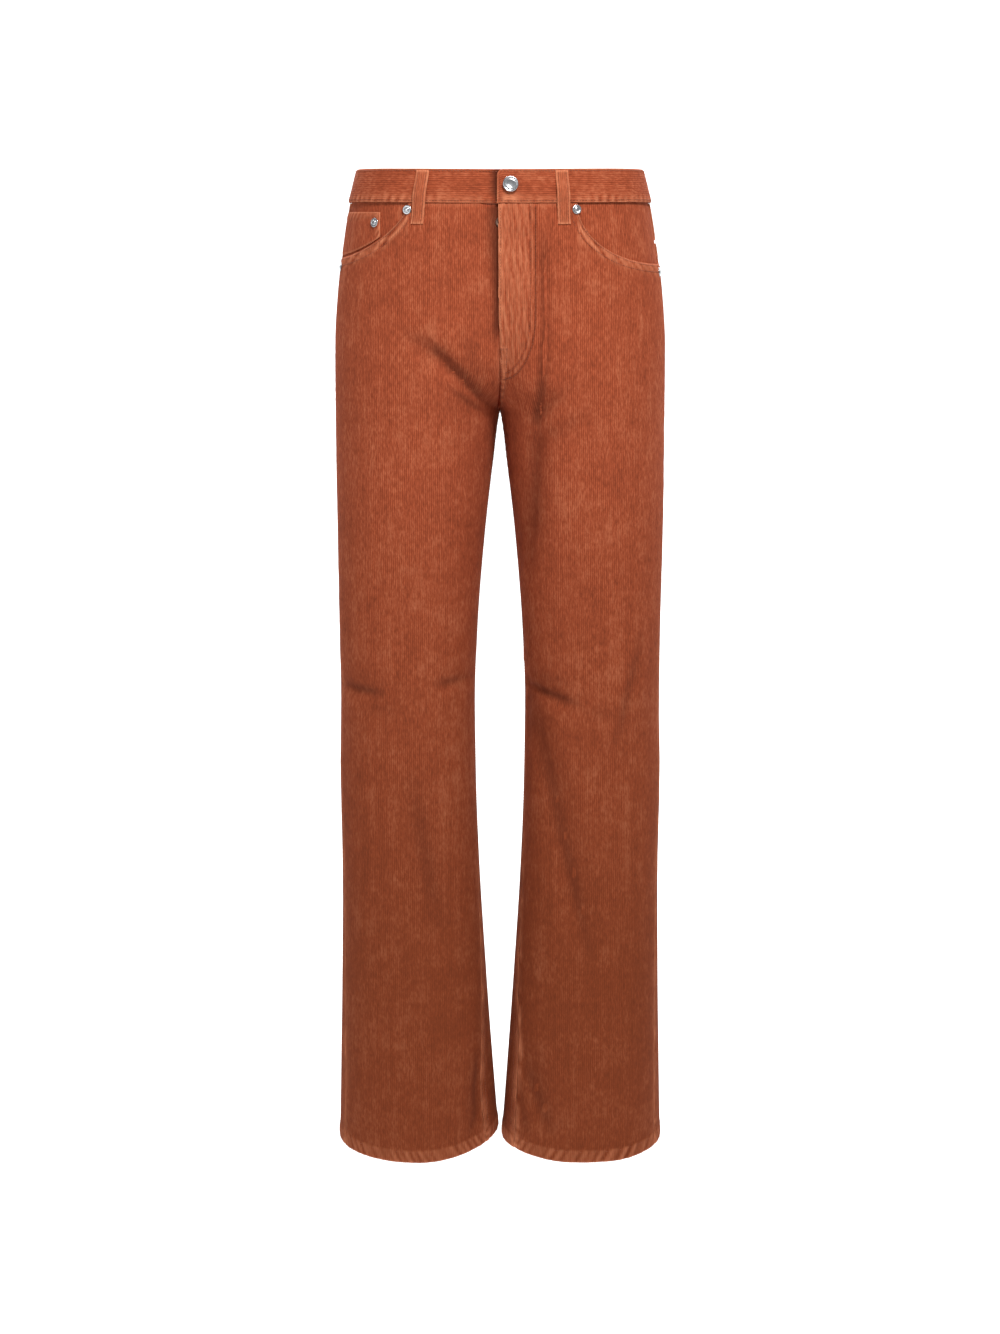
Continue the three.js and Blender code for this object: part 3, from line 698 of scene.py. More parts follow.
def fly_looks(x, z, wave):
    """The fly's lapped strip: two curved lines of stitches with painted shade in their dents,
    worn and puckered.
    """
    offset, wear_and_shade = 0 * z, 0 * z
    for start, foot in FLY_LINES:
        line = fly_line(z, start, foot)
        on = (z > foot - 2) & (z < BAND_BOTTOM - 1)
        slope = np.clip(np.abs(line - fly_line(z - 1, start, foot)), 0, 4)
        distance = (x - line) / np.sqrt(1 + slope**2)
        offset = offset + np.where(on, stitch_dent(distance), 0)
        # Painted shade along the dent of each line of stitches.
        wear_and_shade = wear_and_shade - np.where(on, 0.42 * np.exp(-((distance / 1.1) ** 2)), 0)
    start, foot = FLY_LINES[0]
    strip = (x < start + 1) & (z > foot)
    inside = np.where(strip, smoothstep(fly_line(z, start, foot) - x, 0, 3), 0)
    ripple = waves_at(61, 12, 4, 15, 1.7 * x, 0.45 * z)
    offset = offset + inside * (0.25 + 0.2 * ripple)
    edge = np.exp(-np.abs(x - FLY_EDGE) / 4.0) * (z > FLY_FOOT)
    wear_and_shade = wear_and_shade + inside * (0.24 + 0.26 * ripple) + edge * (0.4 + 0.35 * wave)
    return offset, wear_and_shade


def panel_looks(side, face, x, z, inside, from_outer, from_inner, from_top):
    """What the hem, the seams, the fly and the creases add to a leg panel, as pairs of an offset
    and a wear_and_shade value: rubbed wear, and painted shade in creases and beside the fly's lap."""
    looks = [hem_looks(face, side, inside, z)]
    near_top = z > EASE_FOOT
    seam_wave = waves_at(77 + side + 3 * face, 6, 5.5, 10, z)
    if face == FRONT:
        scoop = smoothstep(x, SCOOPS[side]["x"] - 6, SCOOPS[side]["x"] + 2) * near_top
        turn_wave = waves_at(91 + side, 6, 5.0, 9, x + 0.8 * z)
        looks.append(sewn_edge(from_top, turn_wave, SCOOP_LINE, scoop))
        sewn = smoothstep(-z, 158, 168) * (side == LEFT)
    else:
        looks.append(sewn_edge(from_top, seam_wave, YOKE_LINE, 0.8 * near_top))
        sewn = 1 - 0.5 * smoothstep(-z, 240, 320)
    looks.append(sewn_edge(from_inner, seam_wave, SEAM_LINE, sewn))
    if face == FRONT and side == LEFT:
        looks.append(fly_looks(x, z, seam_wave))
    side_wave = waves_at(131 + side + 3 * face, 6, 7, 15, z)
    side_wear = (0.3 + 0.2 * side_wave) * np.exp(-from_outer / 5)
    looks.append((0.16 * side_wave * np.exp(-from_outer / 6), side_wear))
    looks.append((0, (1 - sewn) * 0.25 * np.exp(-from_inner / 4)))
    # Painted shade in the floors of the finer creases, stored below zero.
    looks.append((0, -crease_shade(side, face, x, z)))
    if face == FRONT and side == RIGHT:
        # Painted shadow on the right front, just inside the fly's lapped edge, where the lap shades it.
        reach = 6 + 5 * smoothstep(z, -130, -20)
        fly_lap_shadow = np.exp(-((np.maximum(x + FLY_EDGE, 0) / reach) ** 2))
        fly_lap_shadow = fly_lap_shadow * smoothstep(z, FLY_FOOT - 12, FLY_FOOT + 20)
        looks.append((0, -0.95 * fly_lap_shadow))
    return looks


def cloth_panel(side, face, top_edge, edge_x):
    """A leg panel as a thin closed shell: a fine outer face that turns in at its edges, and a plain
    inner face."""
    name = ("front_" if face == FRONT else "back_") + SIDE_NAMES[side]
    z, turn, inside, u_low, u_high = panel_grid(face, WALE / WALE_POINTS, top_edge, edge_x)
    x = oval(face * turn, z)[0]
    from_outer, from_inner = inside - u_low, u_high - inside
    top_line = top_edge(x)
    slope = np.abs(np.gradient(top_line, axis=1) / np.maximum(np.abs(np.gradient(x, axis=1)), 1e-3))
    from_top = (top_line - z) / np.sqrt(1 + np.clip(slope, 0, 3) ** 2)
    from_top = np.where(z > EASE_FOOT, from_top, BEYOND)
    edge = np.minimum(np.minimum(from_outer, from_inner), from_top)
    offset = wale_relief(inside) * smoothstep(edge, 0, 1.5)
    offset = offset - 0.55 * (1 - smoothstep(edge, 0, 2.4))
    wear_and_shade = 0.3 * (1 - smoothstep(edge, 0, 3.0))
    for more_offset, more_wear_and_shade in panel_looks(
        side, face, x, z, inside, from_outer, from_inner, from_top
    ):
        offset, wear_and_shade = offset + more_offset, wear_and_shade + more_wear_and_shade
    offset = np.where(rim_of(z.shape), under_side(z), offset)
    points = surface(side, face * turn, z, offset)
    outer = (points, np.stack([inside, z], axis=-1), np.clip(wear_and_shade, -1, 1.2))
    z, turn, inside, *_ = panel_grid(face, WALE * 5, top_edge, edge_x)
    keep = np.r_[0, np.arange(2, z.shape[0] - 2, 2), z.shape[0] - 1]
    z, turn, inside = z[keep], turn[keep], inside[keep]
    points = surface(side, face * turn, z, under_side(z))
    inner = (points, np.stack([inside, z], axis=-1), np.zeros(z.shape))
    solids = [f"{name}_{part}" for part in ("hip", "knee", "ankle")]
    piece = place(f"{name}_cloth", shell(name, outer, inner), CORDUROY, solids)
    return piece


# Patches of cloth over one face


def offset_at(offset, v):
    """An offset that is one number, or a function of the share v of the way down."""
    return offset(v) if callable(offset) else offset + 0 * v


def patch(name, side, face, size, turn_at, height_at, outside, inside, coarse=4.0,
          edge_roll=0.45, edge_wear=0.5, bumps=None):
    """A piece of cloth over a patch of a face, as a thin closed shell whose edges turn in. size is
    across and down in millimetres, and the wales run down. outside and inside are the offsets of
    its two faces, and coarse is the distance between its rows of points."""
    across, down = size
    count_u = max(3, int(round(across / (WALE / WALE_POINTS))))
    count_v = max(3, int(round(down / coarse)))
    margin_u, margin_v = 0.9 / across, 0.9 / down
    us = np.linspace(margin_u, 1 - margin_u, count_u)
    vs = np.linspace(margin_v, 1 - margin_v, count_v)
    us = np.concatenate([[0, 0, 0.4 * margin_u], us, [1 - 0.4 * margin_u, 1, 1]])
    vs = np.concatenate([[0, 0, 0.4 * margin_v], vs, [1 - 0.4 * margin_v, 1, 1]])
    u, v = np.meshgrid(us, vs)
    z = height_at(u, v)
    edge = np.minimum(np.minimum(u, 1 - u) * across, np.minimum(v, 1 - v) * down)
    offset = offset_at(outside, v) - edge_roll * (1 - smoothstep(edge, 0, 1.6))
    offset = offset + (wale_relief(u * across) - WALE_HEIGHT / 2) * smoothstep(edge, 0, 1.5)
    wear_and_shade = edge_wear * (1 - smoothstep(edge, 0, 2.6))
    if bumps is not None:
        extra, extra_wear = bumps(u * across, (1 - u) * across, v * down, (1 - v) * down)
        offset, wear_and_shade = offset + extra, wear_and_shade + extra_wear
    offset = np.where(rim_of(u.shape), offset_at(inside, v), offset)
    points = surface(side, face * turn_at(u, z), z, offset)
    outer = (points, np.stack([u * across, -v * down], axis=-1), np.clip(wear_and_shade, 0, 1.2))
    u, v = np.meshgrid(some_of(us, 7 / across), some_of(vs, 7 / down))
    z = height_at(u, v)
    points = surface(side, face * turn_at(u, z), z, offset_at(inside, v))
    inner = (points, np.stack([u * across, -v * down], axis=-1), np.zeros(u.shape))
    piece = place(f"{name}_cloth", shell(name, outer, inner), CORDUROY, [name])
    return piece


def some_of(values, gap):
    """A few of the values, about a gap apart, with the first and the last."""
    kept = [values[0]]
    for value in values:
        if value - kept[-1] >= gap and values[-1] - value >= 0.5 * gap:
            kept.append(value)
    return np.array(kept + [values[-1]])


def even_turn(face, low_at, high_at):
    """Turns that share the cloth evenly between two edges."""
    unrolled = UNROLLED[face]

    def turn_at(u, z):
        low, high = unrolled.along(low_at(z), z), unrolled.along(high_at(z), z)
        return unrolled.turn(lerp(low, high, u), z)

    return turn_at


def yoke(side):
    name = SIDE_NAMES[side]
    turn_at = even_turn(
        BACK, lambda z: outer_edge_turn(BACK, z), lambda z: turn_at_x(BACK, SEAM_GAP / 2, z)
    )

    def height_at(u, v):
        share = turn_at(u, YOKE_LEVEL + 0 * u) / turn_at_x(BACK, SEAM_GAP / 2, YOKE_LEVEL)
        return lerp(PANEL_TOP, lerp(YOKE_SIDE, YOKE_MIDDLE, np.clip(share, 0, 1)), v)

    def bumps(left, right, top, bottom):
        ripple = waves_at(201 + side, 6, 5.5, 10, left)
        offset = 0.2 * ripple * (np.exp(-top / 5) + np.exp(-bottom / 4))
        return offset, (0.25 + 0.25 * ripple) * (np.exp(-top / 4) + np.exp(-bottom / 3))

    patch(
        f"yoke_{name}", side, BACK, (246.0, 56.0), turn_at, height_at, 0.15, -CLOTH,
        coarse=3.0, bumps=bumps,
    )


def pocket_facing(side):
    name = SIDE_NAMES[side]
    reach = 0.875 * SCOOPS[side]["x"]
    foot = PANEL_TOP - SCOOPS[side]["drop"] - FACING_LAP
    under_back = 0.06
    under_band = 2.5
    turn_at = even_turn(
        FRONT, lambda z: outer_edge_turn(FRONT, z) - under_back, lambda z: turn_at_x(FRONT, reach, z)
    )
    patch(
        f"pocket_facing_{name}", side, FRONT, (150.0, PANEL_TOP - foot), turn_at,
        lambda u, v: lerp(PANEL_TOP + under_band, foot, v), -CLOTH - 0.6, -CLOTH * 2 - 0.4,
    )


def coin_pocket():
    x_edge, top, foot = COIN_POCKET["x"], COIN_POCKET["top"], COIN_POCKET["foot"]
    turn_at = even_turn(
        FRONT, lambda z: outer_edge_turn(FRONT, z), lambda z: turn_at_x(FRONT, x_edge, z)
    )

    def height_at(u, v):
        edge = scoop_height(RIGHT, oval(turn_at(u, WALE_LEVEL + 0 * u), WALE_LEVEL)[0])
        return lerp(top, np.maximum(foot, edge + 2.5), v)

    def bumps(left, right, from_top, bottom):
        ripple = waves_at(301, 6, 5, 9, left + 0.7 * from_top)
        lines = stitch_dent(from_top - FIRST_LINE) + stitch_dent(from_top - COIN_LINE)
        lines = lines + stitch_dent(right - FIRST_LINE)
        lip = np.exp(-(((from_top - 4.5) / 4) ** 2)) + np.exp(-(((right - 3) / 3) ** 2))
        return lines + lip * (0.15 + 0.15 * ripple), lip * (0.3 + 0.3 * ripple)

    patch(
        "coin_pocket", RIGHT, FRONT, (96.0, 40.0), turn_at, height_at, -0.05, -CLOTH,
        coarse=1.4, edge_wear=0.7, bumps=bumps,
    )


def fly_underlap():
    reach, top = 30.0, BAND_BOTTOM - 0.6
    turn_at = lambda u, z: lerp(turn_at_x(FRONT, 0.15, z), turn_at_x(FRONT, reach, z), u)
    sunk = lambda v: -recess_at(0.0, lerp(top, FLY_FOOT, v))
    patch(
        "fly_underlap", LEFT, FRONT, (reach, top - FLY_FOOT), turn_at,
        lambda u, v: lerp(top, FLY_FOOT, v), sunk, lambda v: sunk(v) - CLOTH,
    )


def back_pocket(side):
    name = SIDE_NAMES[side]
    p = BACK_POCKET

    def turn_at(u, z):
        narrowing = smoothstep(-z, -p["top"], -p["point"]) * 5
        low = UNROLLED[BACK].along(turn_at_x(BACK, p["inner"] + narrowing, z), z)
        high = UNROLLED[BACK].along(turn_at_x(BACK, p["outer"] - narrowing, z), z)
        return UNROLLED[BACK].turn(lerp(low, high, u), z)

    def bumps(left, right, top, bottom):
        side_edge = np.minimum(left, right)
        around = np.minimum(side_edge, bottom)
        ripple = waves_at(401 + side, 6, 5.5, 10, left * 0.3 + top)
        across = waves_at(411 + side, 6, 5.5, 10, left)
        offset, wear_and_shade = sewn_edge(around, ripple, 7.4, 0.8)
        mouth = np.exp(-(((top - 8) / 7) ** 2))
        offset = offset + 0.5 * (1 - smoothstep(top, 13, 16))
        offset = offset + stitch_dent(top - 12.5) + mouth * 0.15 * across
        slack = 1.1 * smoothstep(side_edge, 8, 36) * smoothstep(bottom, 8, 50)
        return offset + slack, wear_and_shade + mouth * (0.2 + 0.25 * across)

    patch(
        f"back_pocket_{name}", side, BACK, (100.0, 124.0), turn_at,
        lambda u, v: lerp(p["top"], lerp(p["point"], p["side"], np.abs(2 * u - 1)), v),
        CLOTH + 0.8, 0.8,
        coarse=2.2, edge_wear=0.65, bumps=bumps,
    )


def loop_stand(v):
    """How far a belt loop's inner face stands off the cloth, at a share v of the way down."""
    rest = lerp(BAND_OUT, 0, smoothstep(v, 0.72, 0.84)) + LAYER_GAP
    return rest + LOOP_BULGE * np.sin(math.pi * smoothstep(v, 0.05, 0.8))


def belt_loop(name, side, face, top_x, bottom_x):
    span = LOOP_TOP - LOOP_BOTTOM

    def turn_at(u, z):
        v = (LOOP_TOP - z) / span
        return turn_at_x(face, lerp(top_x, bottom_x, v) + (u - 0.5) * LOOP_WIDTH, z)

    def bumps(left, right, top, bottom):
        edge = np.minimum(left, right)
        ripple = waves_at(501, 5, 5, 9, top)
        ends = np.exp(-top / 2.2) + np.exp(-bottom / 2.2)
        offset = stitch_dent(edge - 2.4) + 0.1 * ripple * np.exp(-edge / 2)
        return offset, 0.22 + ends * 0.6 + (0.3 + 0.25 * ripple) * np.exp(-edge / 1.6)

    patch(
        name, side, face, (LOOP_WIDTH, span), turn_at,
        lambda u, v: lerp(LOOP_TOP, LOOP_BOTTOM, v),
        lambda v: loop_stand(v) + LOOP_THICK, loop_stand,
        coarse=1.6, edge_roll=0.6, bumps=bumps,
    )


def band_tuck(angle):
    """The offset that sinks the band's start under its lapped end."""
    return -BAND_RECESS * (1 - smoothstep(angle, math.pi / 2, 1.86))


def band_looks(from_start, z, height, from_top, from_bottom, from_end):
    """The waistband's wales, stitches and puckers as an offset, and the wear at its edges."""
    edge = np.minimum(np.minimum(from_top, from_bottom), np.minimum(from_end, from_start))
    wave = waves_at(601, 8, 5.5, 11, from_start + 0.2 * z)
    slow = waves_at(611, 5, 20, 60, from_start + 0.2 * z)
    near_foot = np.exp(-(((from_bottom - 3) / 4.5) ** 2))
    fine = (wale_relief(height) - WALE_HEIGHT / 2) * smoothstep(edge, 0, 1.4)
    fine = fine - 0.6 * (1 - smoothstep(edge, 0, 1.8))
    lines = stitch_dent(from_bottom - BAND_LINE) + stitch_dent(from_top - BAND_LINE)
    lines = lines + stitch_dent(from_end - 2.6)
    fine = fine + lines + near_foot * (0.12 + 0.32 * wave) + 0.16 * slow
    wear_and_shade = 0.85 * (1 - smoothstep(from_bottom, 0, 2.0)) + 0.45 * (1 - smoothstep(from_top, 0, 2.0))
    wear_and_shade = wear_and_shade + near_foot * (0.36 + 0.36 * wave) + 0.5 * (1 - smoothstep(from_end, 0, 3))
    return fine, wear_and_shade


def waistband():
    """One strip round the waist. It starts under the fly, runs round the wearer's right and the
    back, and ends lapped over its own start, with a rounded corner."""
    start = float(turn_at_x(FRONT, 28.0, 0.0))
    end = float(turn_at_x(FRONT, FLY_EDGE - 1.5, 0.0)) + 2 * math.pi
    dense = np.linspace(start, end, 4000)
    x, y = oval(dense, 0.0)
    length = np.concatenate([[0], np.cumsum(np.hypot(np.diff(x), np.diff(y)))])
    total = length[-1]
    spots = np.concatenate([[0, 0, 0.7], np.linspace(2.2, total - 9, int(total / 2.3))])
    spots = np.concatenate([spots, total - np.array([7.5, 6, 4.8, 3.6, 2.6, 1.8, 1.1, 0.5, 0, 0])])
    angle = np.interp(spots, length, dense)[None, :]
    from_end = (total - spots)[None, :]
    corner = 7.0
    left = np.clip(corner - from_end, 0, corner)
    top = BAND_TOP - corner + np.sqrt(corner**2 - left**2)
    rows = [(-BAND_IN, BAND_BOTTOM), (-BAND_IN, 2.0), (-BAND_IN, BAND_TOP - 1.4)]
    rows += [(-0.9, BAND_TOP - 0.2), (0.0, BAND_TOP + 0.1)]
    first = len(rows)
    outer_rows = np.arange(BAND_TOP - 0.55, BAND_BOTTOM + 0.5, -WALE / WALE_POINTS)
    rows += [(BAND_OUT, z) for z in outer_rows]
    rows += [(0.5, BAND_BOTTOM + 0.1), (-BAND_IN, BAND_BOTTOM)]
    offset = np.array([row[0] for row in rows])[:, None] + 0 * angle
    height = np.array([row[1] for row in rows])[:, None] + 0 * angle
    z = BAND_BOTTOM + (height - BAND_BOTTOM) * (top - BAND_BOTTOM) / (BAND_TOP - BAND_BOTTOM)
    shown = np.zeros(len(rows), bool)
    shown[first:-2] = True
    shown = shown[:, None] & (from_end > -1)
    from_top, from_bottom = top - z, z - BAND_BOTTOM
    fine, wear_and_shade = band_looks(spots[None, :], z, height, from_top, from_bottom, from_end)
    offset = np.where(shown, offset + fine, offset)
    patch_x, patch_z = total - (11 - FLY_EDGE + 1.5), -9.0
    rubbed = np.exp(-(((spots[None, :] - patch_x) / 9) ** 2) - (((z - patch_z) / 4) ** 2))
    lap_at = np.interp(end - 2 * math.pi, dense, length)
    past_lap = np.where(spots < total / 2, np.maximum(spots - lap_at, 0), BEYOND)[None, :]
    # The band's start gets painted shadow just past the edge of the lapped end over it.
    wear_and_shade = wear_and_shade + 0.9 * rubbed - 0.95 * np.exp(-((past_lap / 6.5) ** 2))
    wear_and_shade = np.where(shown, np.clip(wear_and_shade, -1, 1.3), 0)
    tucked = band_tuck(angle)
    offset = offset + tucked
    middle = (BAND_OUT - BAND_IN) / 2 + tucked + 0 * z
    offset[:, 0], offset[:, -1] = middle[:, 0], middle[:, -1]
    points = surface(LEFT, angle + 0 * z, z, offset, level=True)
    uv = np.stack([height, spots[None, :] + 0 * z], axis=-1)
    row, column = first + 3, 40
    a, b, d = points[row, column], points[row + 1, column], points[row + 1, column + 1]
    sheet = (points, uv, wear_and_shade)
    if np.dot(np.cross(b - a, d - a), a - points[1, column]) < 0:
        sheet = tuple(part[:, ::-1] for part in sheet)
    mesh = grid_mesh("waistband", [sheet])
    piece = place("waistband_cloth", mesh, CORDUROY, ["waistband"])
    return piece


# Thread


def along_edge(side, face, z, distance, edge_x):
    """A run of stitches down a panel, at a distance from its inner edge."""
    unrolled = UNROLLED[face]
    u = unrolled.along(inner_edge_turn(face, z, edge_x), z) - distance
    return side, face * unrolled.turn(u, z), z


def beside_curve(side, face, x, z, distance):
    """A run of stitches beside a curve on a face, at a distance below it."""
    unrolled = UNROLLED[face]
    u = unrolled.along(turn_at_x(face, x, z), z)
    du, dz = np.gradient(u), np.gradient(z)
    size = np.hypot(du, dz)
    flip = np.where(du > 0, -1, 1)
    u, z = u - flip * dz / size * distance, z + flip * du / size * distance
    return side, face * unrolled.turn(u, z), z


def stitch_mesh(name, runs, offset=0.42, length=2.5, pitch=3.3, radius=0.3):
    """Stitches as short swollen threads that dip into the cloth at both ends. A run is a side,
    angles and heights, and may have its own offset."""
    starts, ends, ups = [], [], []
    for side, angle, z, *own in runs:
        angle, z = np.broadcast_arrays(np.asarray(angle, float), np.asarray(z, float))
        height = own[0] if own else offset
        point = surface(side, angle, z, height)
        up = surface(side, angle, z, height + 2) - point
        reach = np.concatenate([[0], np.cumsum(np.linalg.norm(np.diff(point, axis=0), axis=1))])
        begin = np.arange(0.8, reach[-1] - length, pitch)
        at = lambda values, s: np.stack([np.interp(s, reach, row) for row in values.T], axis=1)
        starts.append(at(point, begin))
        ends.append(at(point, begin + length))
        ups.append(at(up, begin))
    start, end, up = (np.concatenate(parts) for parts in (starts, ends, ups))
    ahead = end - start
    ahead /= np.linalg.norm(ahead, axis=1, keepdims=True)
    aside = np.cross(ahead, up)
    aside /= np.linalg.norm(aside, axis=1, keepdims=True)
    up = np.cross(aside, ahead)
    shares = np.array([0, 0.16, 0.5, 0.84, 1])
    swell = np.array([0.35, 0.9, 1, 0.9, 0.35]) * radius
    lift = np.array([-0.4, -0.05, 0.06, -0.05, -0.4])
    sides = 5
    around = np.arange(sides) * 2 * math.pi / sides
    middle = start[:, None] + (end - start)[:, None] * shares[None, :, None]
    middle = middle + up[:, None] * lift[None, :, None]
    ring = np.cos(around)[:, None] * aside[:, None, None]
    ring = ring + np.sin(around)[:, None] * up[:, None, None]
    point = middle[:, :, None] + ring * swell[None, :, None, None]
    count = len(start)
    base = (np.arange(count) * len(shares) * sides)[:, None]
    quads = []
    for r in range(len(shares) - 1):
        for c in range(sides):
            n = (c + 1) % sides
            quads.append((r * sides + c, r * sides + n, (r + 1) * sides + n, (r + 1) * sides + c))
    faces = (base[:, :, None] + np.array(quads)[None]).reshape(-1, 4)
    last = (len(shares) - 1) * sides
    caps = np.concatenate([
        base + np.arange(sides)[::-1][None, :],
        base + last + np.arange(sides)[None, :],
    ])
    mesh = plain_mesh(name, (point.reshape(-1, 3) * MM).tolist(), faces.tolist() + caps.tolist())
    return place(name, mesh, THREAD)


def edge_lines(side, face, z, edge_x):
    return [along_edge(side, face, z, distance, edge_x) for distance in (FIRST_LINE, SEAM_LINE)]


def curve_lines(side, face, x, z, second):
    return [beside_curve(side, face, x, z, distance) for distance in (FIRST_LINE, second)]


def leg_stitches(side):
    name = SIDE_NAMES[side]
    seam = np.arange(-238.0, HEM + HEM_DEPTH + 2, -4.0)
    seat = np.arange(-92.0, -232.0, -4.0)
    for face, label in ((FRONT, "front"), (BACK, "back")):
        unrolled = UNROLLED[face]
        z = np.full(120, HEM + HEM_DEPTH - HEM_LINE)
        low = unrolled.along(outer_edge_turn(face, z), z) + 2
        high = unrolled.along(inner_edge_turn(face, z, middle_edge), z) - 2
        hem = (side, face * unrolled.turn(np.linspace(low[0], high[0], 120), z), z)
        runs = [hem]
        if face == BACK:
            runs += edge_lines(side, face, seam, middle_edge)
            x = np.linspace(2, 170, 90)
            runs += curve_lines(side, face, x, yoke_seam(x), YOKE_LINE)
            if side == LEFT:
                runs += edge_lines(side, face, seat, middle_edge)
        else:
            x = np.linspace(SCOOPS[side]["x"] + 0.5, 172, 120)
            runs += curve_lines(side, face, x, scoop_height(side, x), SCOOP_LINE)
        stitch_mesh(f"{label}_{name}_stitches", runs)


def fly_stitches():
    runs = []
    for start, foot in FLY_LINES:
        z = np.concatenate([np.arange(-18.0, FLY_BEND, -3.0), np.linspace(FLY_BEND, foot + 0.2, 60)])
        runs.append((LEFT, turn_at_x(FRONT, fly_line(z, start, foot) + 0.3, z), z))
    below = np.arange(-166.0, -226.0, -4.0)
    runs += edge_lines(LEFT, FRONT, below, fly_edge)
    edge = np.arange(-20.0, -150.0, -4.0)
    runs.append(along_edge(LEFT, FRONT, edge, 2.4, fly_edge))
    stitch_mesh("fly_stitches", runs, offset=0.5)


def bar_tack(side, face, x, z, length, lean):
    """A dense bar of short stitches across a line that leans by an angle from upright."""
    pitch, half = 0.75, 1.3
    runs = []
    for i in range(int(length / pitch)):
        s = i * pitch - length / 2
        cx, cz = x + s * math.sin(lean), z + s * math.cos(lean)
        xs = np.array([cx - half * math.cos(lean), cx + half * math.cos(lean)])
        zs = np.array([cz + half * math.sin(lean), cz - half * math.sin(lean)])
        runs.append((side, face * turn_at_x(face, xs, zs), zs))
    return runs


def tacks():
    fly = bar_tack(LEFT, FRONT, 7.5, -197.5, 9, 1.2)
    fly += bar_tack(LEFT, FRONT, 5.0, -166.0, 8, 1.57)
    pockets = []
    for side in (LEFT, RIGHT):
        for x in (42.5, 131.0):
            pockets += bar_tack(side, BACK, x, -118.0, 9, 0.0)
    stitch_mesh("fly_tacks", fly, offset=0.6, length=1.7, pitch=5)
    stitch_mesh("pocket_tacks", pockets, offset=3.4, length=1.7, pitch=5)


def band_stitches():
    start = float(turn_at_x(FRONT, 0.0, 0.0)) + 0.02
    end = float(turn_at_x(FRONT, FLY_EDGE - 0.5, 0.0)) + 2 * math.pi
    angle = np.linspace(start, end, 900)
    runs = []
    for z in (BAND_TOP - BAND_LINE, BAND_BOTTOM + BAND_LINE):
        runs.append((LEFT, angle, np.full(900, z), BAND_OUT + 0.3 + band_tuck(angle)))
    z = np.linspace(BAND_BOTTOM + 2.5, BAND_TOP - 4, 20)
    runs.append((LEFT, turn_at_x(FRONT, FLY_EDGE + 1.1, z), z, np.full(20, BAND_OUT + 0.3)))
    stitch_mesh("waistband_stitches", runs)


def loop_stitches():
    for name, side, face, top_x, bottom_x in LOOPS:
        z = np.linspace(LOOP_TOP - 1, LOOP_BOTTOM + 1, 60)
        v = (LOOP_TOP - z) / (LOOP_TOP - LOOP_BOTTOM)
        stand = loop_stand(v) + LOOP_THICK
        runs = []
        for d in (-1, 1):
            x = lerp(top_x, bottom_x, v) + d * (LOOP_WIDTH / 2 - 2.4)
            runs.append((side, face * turn_at_x(face, x, z), z, stand))
        stitch_mesh(f"{name}_stitches", runs)


# Fittings


def lathe(name, side, x, z, offset, profile, segments, metal):
    """A round fitting turned about its own axis and set on the cloth. Its profile is radius and
    height."""
    turn = float(turn_at_x(FRONT, x, z))
    foot = surface(side, turn, z, offset, fine=False)
    up = surface(side, turn, z, offset + 10, fine=False) - foot
    up /= np.linalg.norm(up)
    aside = np.cross([0.0, 0.0, 1.0], up)
    aside /= np.linalg.norm(aside)
    above = np.cross(up, aside)
    around = np.linspace(0, 2 * math.pi, segments, endpoint=False)
    ring = np.cos(around)[:, None] * aside + np.sin(around)[:, None] * above
    points = [foot + up * height + ring * radius for radius, height in profile if radius > 0]
    count = len(points)
    vertices = np.concatenate(points + [[foot + up * profile[0][1]], [foot + up * profile[-1][1]]])
    faces = []
    for r in range(count - 1):
        for c in range(segments):
            n = (c + 1) % segments
            a, b = r * segments, (r + 1) * segments
            faces.append((a + c, a + n, b + n, b + c))
    low, high = count * segments, count * segments + 1
    last = (count - 1) * segments
    for c in range(segments):
        n = (c + 1) % segments
        faces += [(n, c, low), (last + c, last + n, high)]
    mesh = plain_mesh(name, (vertices * MM).tolist(), faces)
    return place(f"{name}_metal", mesh, metal, [name])


RIVET = (
    (0, 0), (4.1, 0), (4.7, 0.15), (4.9, 0.5), (4.85, 0.8), (4.6, 1.05), (4.1, 1.2), (3.5, 1.2),
    (3.0, 1.05), (2.7, 0.95), (2.5, 1.0), (2.4, 1.3), (2.2, 1.6), (1.7, 1.85), (0.9, 1.95), (0, 1.98),
)
WAIST_BUTTON = (
    (0, 0), (4, 0), (4, 2), (6.9, 2.1), (7.7, 2.3), (8.1, 2.7), (8.2, 3.1), (8.1, 3.5), (7.8, 3.85),
    (7.4, 4.0), (7.0, 3.95), (6.8, 3.7), (6.6, 3.5), (6.3, 3.42), (5.4, 3.45), (5.1, 3.6),
    (4.9, 3.85), (4.6, 3.95), (4.2, 3.85), (3.4, 3.65), (2.4, 3.5), (1.2, 3.42), (0, 3.4),
)
FLY_BUTTON = (
    (0, 0), (5.5, 0), (6.1, 0.3), (6.2, 0.8), (6.1, 1.3), (5.8, 1.65), (5.2, 1.8), (4.6, 1.65),
    (4.2, 1.5), (3.0, 1.55), (1.4, 1.7), (0, 1.72),
)
RIVETS = (
    ("rivet_front_left", LEFT, 80.0, -23.0),
    ("rivet_front_right", RIGHT, 97.0, -23.5),
    ("rivet_side_left", LEFT, 171.0, -88.0),
    ("rivet_side_right", RIGHT, 171.0, -83.0),
    ("rivet_coin", RIGHT, 132.0, -37.0),
)


def fittings():
    for name, side, x, z in RIVETS:
        lathe(name, side, x, z, LAYER_GAP + 0.1, RIVET, 40, STEEL)
    lathe("waist_button", LEFT, 11.0, 3.0, BAND_OUT + LAYER_GAP, WAIST_BUTTON, 64, STEEL)
    # The fly button takes a darker copy of the steel, as painted shade under the lap.
    lathe("fly_button", LEFT, 1.5, -35.0, LAYER_GAP - FLY_RECESS, FLY_BUTTON, 40, SHADED_STEEL)


# Materials


